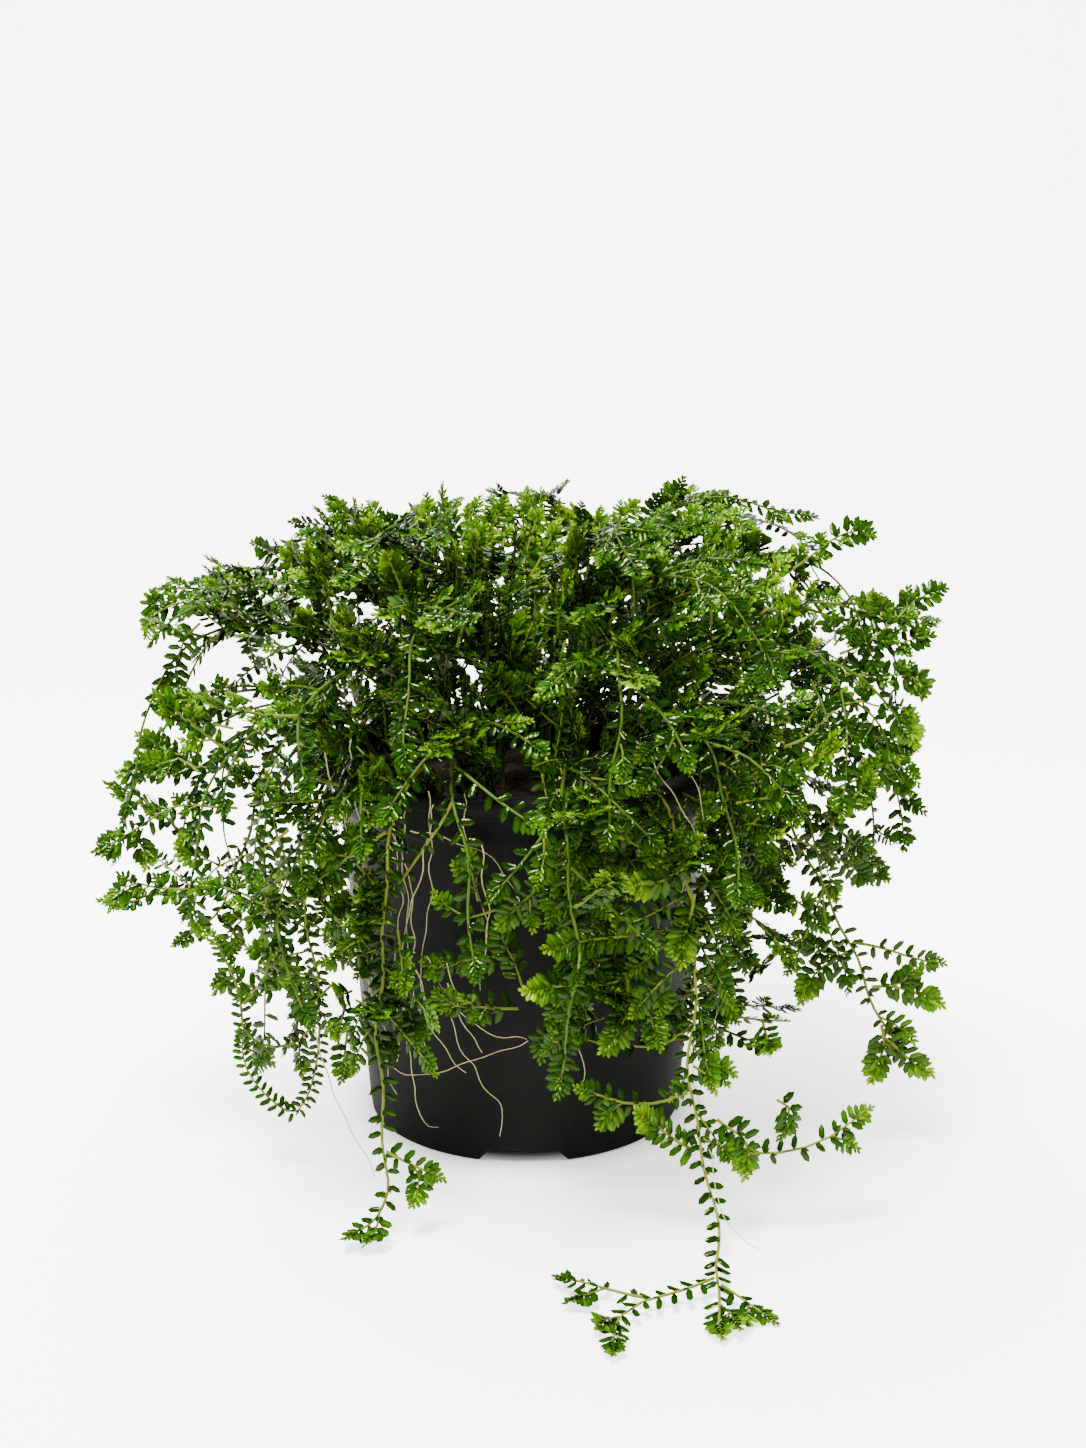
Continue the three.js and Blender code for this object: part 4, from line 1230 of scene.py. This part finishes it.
def make_pot():
    under = POT_HEIGHT - LIP_DROP
    foot_in = FOOT_RADIUS - FOOT_RING
    step = POT_HEIGHT - BAND_DROP
    inside = BAND_RADIUS - WALL
    outline = [
        (0, POT_FLOOR), (foot_in - 0.6, POT_FLOOR), (foot_in, POT_FLOOR - 0.6), (foot_in, 0.5),
        (foot_in + 0.5, 0), (FOOT_RADIUS - 0.9, 0), (FOOT_RADIUS - 0.25, 0.3), (FOOT_RADIUS + 0.05, 1.0),
        (wall_radius(30), 30), (wall_radius(60), 60), (wall_radius(step - 0.4), step - 0.4),
        (wall_radius(step) + 0.25, step), (wall_radius(step) + 0.8, step + 0.8),
        (wall_radius(step) + 0.95, step + 1.6), (BAND_RADIUS - 0.05, under - 0.7),
        (BAND_RADIUS + 0.5, under - 0.05), (LIP_RADIUS - 1.0, under), (LIP_RADIUS - 0.3, under + 0.25),
        (LIP_RADIUS, under + 0.9), (LIP_RADIUS, POT_HEIGHT - 1.2),
        (LIP_RADIUS - 0.35, POT_HEIGHT - 0.35), (LIP_RADIUS - 1.2, POT_HEIGHT),
        (inside + 0.9, POT_HEIGHT), (inside + 0.2, POT_HEIGHT - 0.3), (inside, POT_HEIGHT - 1.1),
        (wall_radius(40) - WALL, 40), (wall_radius(POT_FLOOR + 3) - WALL, POT_FLOOR + 3),
        (wall_radius(POT_FLOOR + WALL) - WALL - 1.6, POT_FLOOR + WALL), (0, POT_FLOOR + WALL),
    ]
    pot = turned("pot_turned", outline, POT_SIDES)
    tidy(pot)
    cutters = []
    for k in range(4):
        way = k * math.pi / 2
        c, s = math.cos(way), math.sin(way)
        flat = [(-NOTCH_HALF, -1.0), (NOTCH_HALF, -1.0), (NOTCH_HALF, 0.0), (NOTCH_TOP, NOTCH_RISE),
                (-NOTCH_TOP, NOTCH_RISE), (-NOTCH_HALF, 0.0)]
        points = [(x * c - y * s, x * s + y * c, z) for y in (-30.0, -60.0) for x, z in flat]
        n = len(flat)
        faces = [list(range(n)), list(range(n, 2 * n))[::-1]]
        faces += [[(i + 1) % n, i, n + i, n + (i + 1) % n] for i in range(n)]
        cutters.append(mesh_object(f"notch_cutter_{k}", placed(points), faces))
    for k in range(4):
        way = (k + 0.5) * math.pi / 2
        x, y = DRAIN_OUT * math.cos(way), DRAIN_OUT * math.sin(way)
        bore = [(0, 2), (DRAIN_RADIUS, 2), (DRAIN_RADIUS, 12), (0, 12)]
        drill = turned(f"drain_cutter_{k}", bore, DRAIN_SIDES)
        drill.data.transform(Matrix.Translation((x * MM, y * MM, 0)))
        cutters.append(drill)
    pot = cut(pot, cutters)
    tidy(pot)
    pot.data.set_sharp_from_angle(angle=math.radians(35))
    return pot


def tidy(thing):
    """Merges doubled points and turns all faces outwards."""
    work = bmesh.new()
    work.from_mesh(thing.data)
    bmesh.ops.remove_doubles(work, verts=work.verts, dist=1e-6)
    bmesh.ops.recalc_face_normals(work, faces=work.faces)
    for face in work.faces:
        face.smooth = True
    work.to_mesh(thing.data)
    work.free()


def make_soil():
    """Peat with a lumpy top: rings of points with rolling heights, closed underneath."""
    low = POT_FLOOR + WALL + 0.4
    outline = [(0, low), (wall_radius(low) - WALL - 2.1, low), (wall_radius(94) - WALL - 0.5, SOIL_EDGE)]
    outline += [(r, SOIL_TOP - 4 * (r / 50) ** 2) for r in np.linspace(50.2, 1.2, 34)] + [(0, SOIL_TOP)]
    soil = turned("soil_heap", outline, SOIL_SIDES)
    rng = np.random.default_rng(8)
    pitches = (0.25, 0.4, 0.7, 1.1, 1.9, 2.6)
    waves = [(rng.uniform(-1, 1, 2), rng.uniform(0, 6.3), f) for f in pitches for _ in range(3)]
    for vertex in soil.data.vertices:
        x, y, z = (np.array(vertex.co) - POT_AXIS) / MM
        if z > SOIL_EDGE + 0.05:
            swell = sum(math.sin(f * (k[0] * x + k[1] * y) + p) / (1 + 2.2 * f) for k, p, f in waves)
            edge = min(1.0, (50.6 - math.hypot(x, y)) / 4)
            vertex.co.z += MM * min(0.8, 0.75 * swell) * max(0.0, edge)
    tidy(soil)
    return soil


# ---- making it
leaf_look, stem_look = leaf_finish(), stem_finish()
pot_look, soil_look, root_look = pot_finish(), soil_finish(), root_finish()
side_leaf = leaf_shape("side leaf", [(0.24, 0.48), (0.74, 0.45)], 0.2, 0.13)
top_leaf = leaf_shape("top leaf", [(0.4, 0.5)], 0.10, 0.14)
growing = leafy_tree()

sprays = [s for ring in RINGS for s in ring_sprays(ring)] + trail_sprays()
leafing = {"Side leaf": side_leaf, "Top leaf": top_leaf, "Stem finish": stem_look, "Leaf finish": leaf_look}
for number, (name, stem, steps, bare) in enumerate(sprays):
    growth = spray_growth(name, stem, steps, bare, FIRST_SPRAY_SEED + number)
    piece = made_by(growing, base_of(f"{name}_leaves", growth), leafing)
    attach(piece, "root")
    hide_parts(name)

for name, growth in (
    ("outer_sprays", outer_growth()),
    ("set_sprays", set_growth()),
    ("cover_sprays", dome_growth(79, 110, 14, 84, (12, 20), (14, 21), 0.75, 0.02, 7.0)),
    # Older, darker leaves deep in the mound (offset 0.12 against 0.02 above), partly as painted shade.
    ("inner_sprays", dome_growth(80, 78, 8, 84, (32, 64), (22, 30), 0.6, 0.12, 9.0)),
):
    piece = made_by(growing, base_of(name, growth), leafing)
    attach(piece, "root")
for shape in (side_leaf, top_leaf):
    bpy.data.objects.remove(shape)

pot = make_pot()
pot.data.materials.append(pot_look)
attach(pot, "root")
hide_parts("pot")

soil = make_soil()
soil.data.materials.append(soil_look)
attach(soil, "root")
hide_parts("soil")


# ---- aerial roots
FRONT_ROOTS = [  # threads that show in front of the pot, from where they leave the stems down to their tips
    [(-31, -62, 60), (-30.5, -58, 45), (-29.6, -56, 36.3), (-28.9, -54, 27), (-26, -52.5, 15.6),
     (-21.8, -52, 13.6)],
    [(-24, -64, 66), (-21.1, -60, 56.8), (-18.7, -58, 46.5), (-12.5, -56, 31.8), (-5.3, -53.5, 17.2),
     (-6.1, -53, 11.8)],
    [(-19, -64, 64), (-17.3, -60, 54.1), (-15.6, -58, 46.5), (-9.8, -56, 36.6)],
    [(-42, -60, 50), (-39, -58, 41), (-35.8, -57, 34.2), (-26.8, -57, 30.9), (-13.7, -57, 34.5),
     (1.9, -60, 41.8)],
    [(-27, -63, 62), (-25, -59, 52.4), (-23.2, -58, 43.8), (-15.1, -56, 31)],
    [(-19, -62, 58), (-17.3, -60, 51.4), (-14.8, -59, 47.5), (-7.1, -58, 42.7), (1.9, -60, 41.8)],
    [(9, -66, 60), (12.2, -62, 50.8), (14.1, -58, 41), (15.7, -56, 34.6), (15, -54.5, 28)],
    [(46, -86, 24), (47.3, -92, 16.3), (49.2, -96, 11.8), (53.2, -98, 6.8), (57.8, -100, 4.8)],
    [(-54, -57, 46), (-53.3, -56, 37.4), (-51.7, -56, 31.8), (-48, -56, 22), (-42.8, -58, 11.6),
     (-38.8, -60, 2.7)],
    [(24, -77, 126), (28.5, -76, 123.5), (32.3, -74, 118.1), (38.6, -72, 107.6), (44.1, -68, 95.1),
     (45.9, -66, 86.8)],
    [(36, -74, 124), (38.2, -74, 121.8), (40.9, -72, 116.4), (43.6, -70, 109.6), (44.6, -68, 102.8)],
    [(-28, -61, 98), (-20.6, -60, 96.7), (-11.9, -59, 92.2), (-5.6, -58.5, 87.9), (-1.8, -58, 81.3)],
    [(-33, -63, 106), (-31.2, -62, 92.8), (-30.7, -59, 78.6), (-32.5, -57, 64.8), (-30.5, -56, 48.5)],
    [(-22, -62, 105), (-24.4, -61, 92.8), (-28.1, -58, 77.3), (-31.5, -57, 62.1), (-32.3, -56, 47.1)],
    [(41, -76, 78), (41.9, -70, 67.2), (43, -72, 54.8), (42.5, -74, 42.3), (44.6, -76, 29.8)],
    [(42, -74, 76), (45.9, -70, 65.2), (48.5, -73, 54.8), (46.3, -76, 45.8), (48.1, -80, 35.6)],
    [(-43, -54, 120), (-43.6, -53, 114.1), (-45.4, -52, 103.1), (-44.1, -50, 89.2), (-42, -48, 75.4)],
    [(-50, -52, 116), (-49, -51, 111), (-47.6, -50, 94.6), (-50.4, -48, 77.8), (-46.8, -46, 61.3)],
]


HANGING_THREADS = 46
ROOT_STEP = 1.8  # between the points of a root's line


def thread_tree():
    """Round threads along the roots' lines."""
    tree, start, end = new_tree("root threads", [
        ("Thread sides", "NodeSocketInt", 5),
        ("Thread finish", "NodeSocketMaterial", None),
    ])
    given = start.outputs
    threads = tubes(tree, given["Geometry"], given["Thread sides"])
    real = node(tree, "GeometryNodeRealizeInstances", {0: threads})
    tree.links.new(finished(tree, real.outputs[0], given["Thread finish"]), end.inputs[0])
    return tree


def hanging_threads(rng):
    """Threads that hang from under the sprays all round, waving a little as they thin out."""
    made = []
    for _ in range(HANGING_THREADS):
        way = rng.uniform(0, 2 * math.pi)
        r = rng.uniform(57, 70)
        top = rng.uniform(88, 112)
        length = rng.uniform(25, 75)
        drift = rng.uniform(-0.16, 0.16)
        swing = rng.uniform(0, 6.3, 2)
        points = []
        for t in np.linspace(0, 1, 8):
            bend = 0.035 * math.sin(6 * t + swing[0]) * t
            a = way + drift * t + bend
            z = top - length * t
            out = max(wall_radius(z) + 1.6, r - 6 * t + 2.2 * math.sin(5 * t + swing[1]) * t)
            if z > 90:
                out = max(out, 61.5)
            points.append((out * math.cos(a), out * math.sin(a), max(z, 1.2)))
        made.append(points)
    return made


def make_roots():
    rng = np.random.default_rng(31)
    points, edges, thick = [], [], []
    for line in FRONT_ROOTS + hanging_threads(rng):
        spots = resampled(smooth_line(line), ROOT_STEP)
        s = np.linspace(0, len(spots) * ROOT_STEP, len(spots))[:, None]
        wave = rng.uniform(0, 6.3, (4, 3))
        sway = 0.55 * np.sin(s / 3.4 + wave[0]) * np.sin(s / 9.5 + wave[1]) + 0.3 * np.sin(s / 1.9 + wave[2])
        spots[1:] += sway[1:]
        spots[:, 2] = np.maximum(spots[:, 2], 0.4)
        first = sum(len(p) for p in points)
        points.append(spots)
        edges.extend((first + i, first + i + 1) for i in range(len(spots) - 1))
        thick.append(np.linspace(rng.uniform(0.12, 0.2), 0.1, len(spots)) * MM)
    base = mesh_object("aerial_roots", placed(np.vstack(points)), (), edges)
    set_numbers(base.data, "thick", "FLOAT", np.concatenate(thick))
    return made_by(thread_tree(), base, {"Thread finish": root_look})


roots = make_roots()
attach(roots, "root")


# ---- floor, light and camera
def floor_finish():
    """White paper that glows where the camera sees it, so that it stays white behind and in front of the
    plant, and sheds a little of that glow onto the plant as painted light. The glow has a painted shadow
    round the pot and is painted weaker towards the front.
    """
    made, tree = material("studio paper")
    where = node(tree, "ShaderNodeTexCoord").outputs["Object"]
    x, y, z = node(tree, "ShaderNodeSeparateXYZ", {0: where}).outputs
    wide = mapped(tree, sums(tree, "ABSOLUTE", x, 0.0), 0.75, 1.3, 1.0, 0.0)
    near = mapped(tree, y, -0.75, -0.3, 0.0, 0.22)
    # Painted falloff: the glow is weaker towards the front of the floor.
    front = mapped(tree, y, -0.35, 0.15, 3.2, 5.4)
    high = mapped(tree, z, 0.75, 1.1, 1.0, 0.0)

    def away_from(spot, start, stop, least):
        apart = node(tree, "ShaderNodeVectorMath", {0: where, 1: tuple(spot)}, operation="DISTANCE")
        return mapped(tree, apart.outputs["Value"], start, stop, least, 1.0, "SMOOTHSTEP")

    # Painted shadow: the plant's soft shade, cast away from the light, and the dark line along the pot's
    # foot.
    shade = away_from(POT_AXIS + (0.035, -0.03, 0), 0.0, 0.2, 0.38)
    foot = away_from(POT_AXIS, 0.0385, 0.057, 0.0)
    # The share of its glow that the floor sheds on the plant as painted light: 0.22, fading out far to the
    # front, to the sides and high up the backdrop.
    cast = sums(tree, "MULTIPLY", sums(tree, "MULTIPLY", wide, near), high)
    seen = sums(tree, "MAXIMUM", node(tree, "ShaderNodeLightPath").outputs["Is Camera Ray"], cast)
    lit = sums(tree, "MULTIPLY", sums(tree, "MULTIPLY", seen, front), sums(tree, "MULTIPLY", shade, foot))
    put_out(tree, shader(tree, {
        "Base Color": (0.86, 0.855, 0.845, 1), "Roughness": 0.8, "Specular IOR Level": 0.1,
        "Emission Color": (1.0, 0.985, 0.955, 1), "Emission Strength": lit,
    }))
    return made


def make_floor():
    """A wide sheet that curves up far behind the plant. Lengths are in metres here."""
    back, bend, half_width = 0.9, 0.8, 3.0
    rise = np.linspace(0.1, math.pi / 2, 16)
    profile = [(-2.0, 0.0), (back, 0.0)]
    profile += [(back + bend * math.sin(a), bend - bend * math.cos(a)) for a in rise]
    profile += [(back + bend, 3.0)]
    points = [(x, y, z) for y, z in profile for x in (-half_width, half_width)]
    faces = [(2 * i, 2 * i + 1, 2 * i + 3, 2 * i + 2) for i in range(len(profile) - 1)]
    floor = mesh_object("studio_floor", points, faces)
    for face in floor.data.polygons:
        face.use_smooth = True
    floor.data.materials.append(floor_finish())


def area_light(name, place, aim, size, power):
    data = bpy.data.lights.new(name, "AREA")
    data.shape = "RECTANGLE"
    data.size, data.size_y = size
    data.energy = power
    lamp = put_in_scene(name, data)
    lamp.location = place
    lamp.rotation_euler = (Vector(aim) - Vector(place)).to_track_quat("-Z", "Y").to_euler()


make_floor()
area_light("key softbox", (-0.2, -0.5, 1.32), (0, 0, 0.08), (0.42, 0.42), 76.0)
area_light("left lamp", (-1.0, -0.3, 0.9), (0, 0, 0.1), (0.1, 0.1), 3.0)
area_light("side lamp", (0.85, -0.55, 0.9), (0, 0, 0.1), (0.1, 0.1), 3.0)
area_light("back softbox", (-0.35, 0.9, 1.3), (0, 0, 0.12), (0.25, 0.2), 12.0)

ROOM_GLOW, WALL_GLOW = 0.38, 4.5  # what the room sheds on things, and how bright it looks itself
SENSOR_WIDTH, LENS = 36.0, 43.13
CAMERA_PLACE = (5.3, -480.0, 216.0)  # millimetres from the pot's axis
CAMERA_TILT = 77.8  # degrees up from straight down

world = bpy.data.worlds.new("studio")
world.use_nodes = True
room = world.node_tree.nodes["Background"]
room.inputs["Color"].default_value = (1.0, 0.995, 0.985, 1)
camera_ray = node(world.node_tree, "ShaderNodeLightPath").outputs["Is Camera Ray"]
far_wall = mapped(world.node_tree, camera_ray, 0.0, 1.0, ROOM_GLOW, WALL_GLOW)
world.node_tree.links.new(far_wall, room.inputs["Strength"])
bpy.context.scene.world = world

camera_data = bpy.data.cameras.new("camera")
camera_data.sensor_width = SENSOR_WIDTH
camera_data.lens = LENS
camera = put_in_scene("camera", camera_data)
camera.location = Vector(POT_AXIS) + Vector(CAMERA_PLACE) * MM
camera.rotation_euler = (math.radians(CAMERA_TILT), 0, 0)
bpy.context.scene.camera = camera
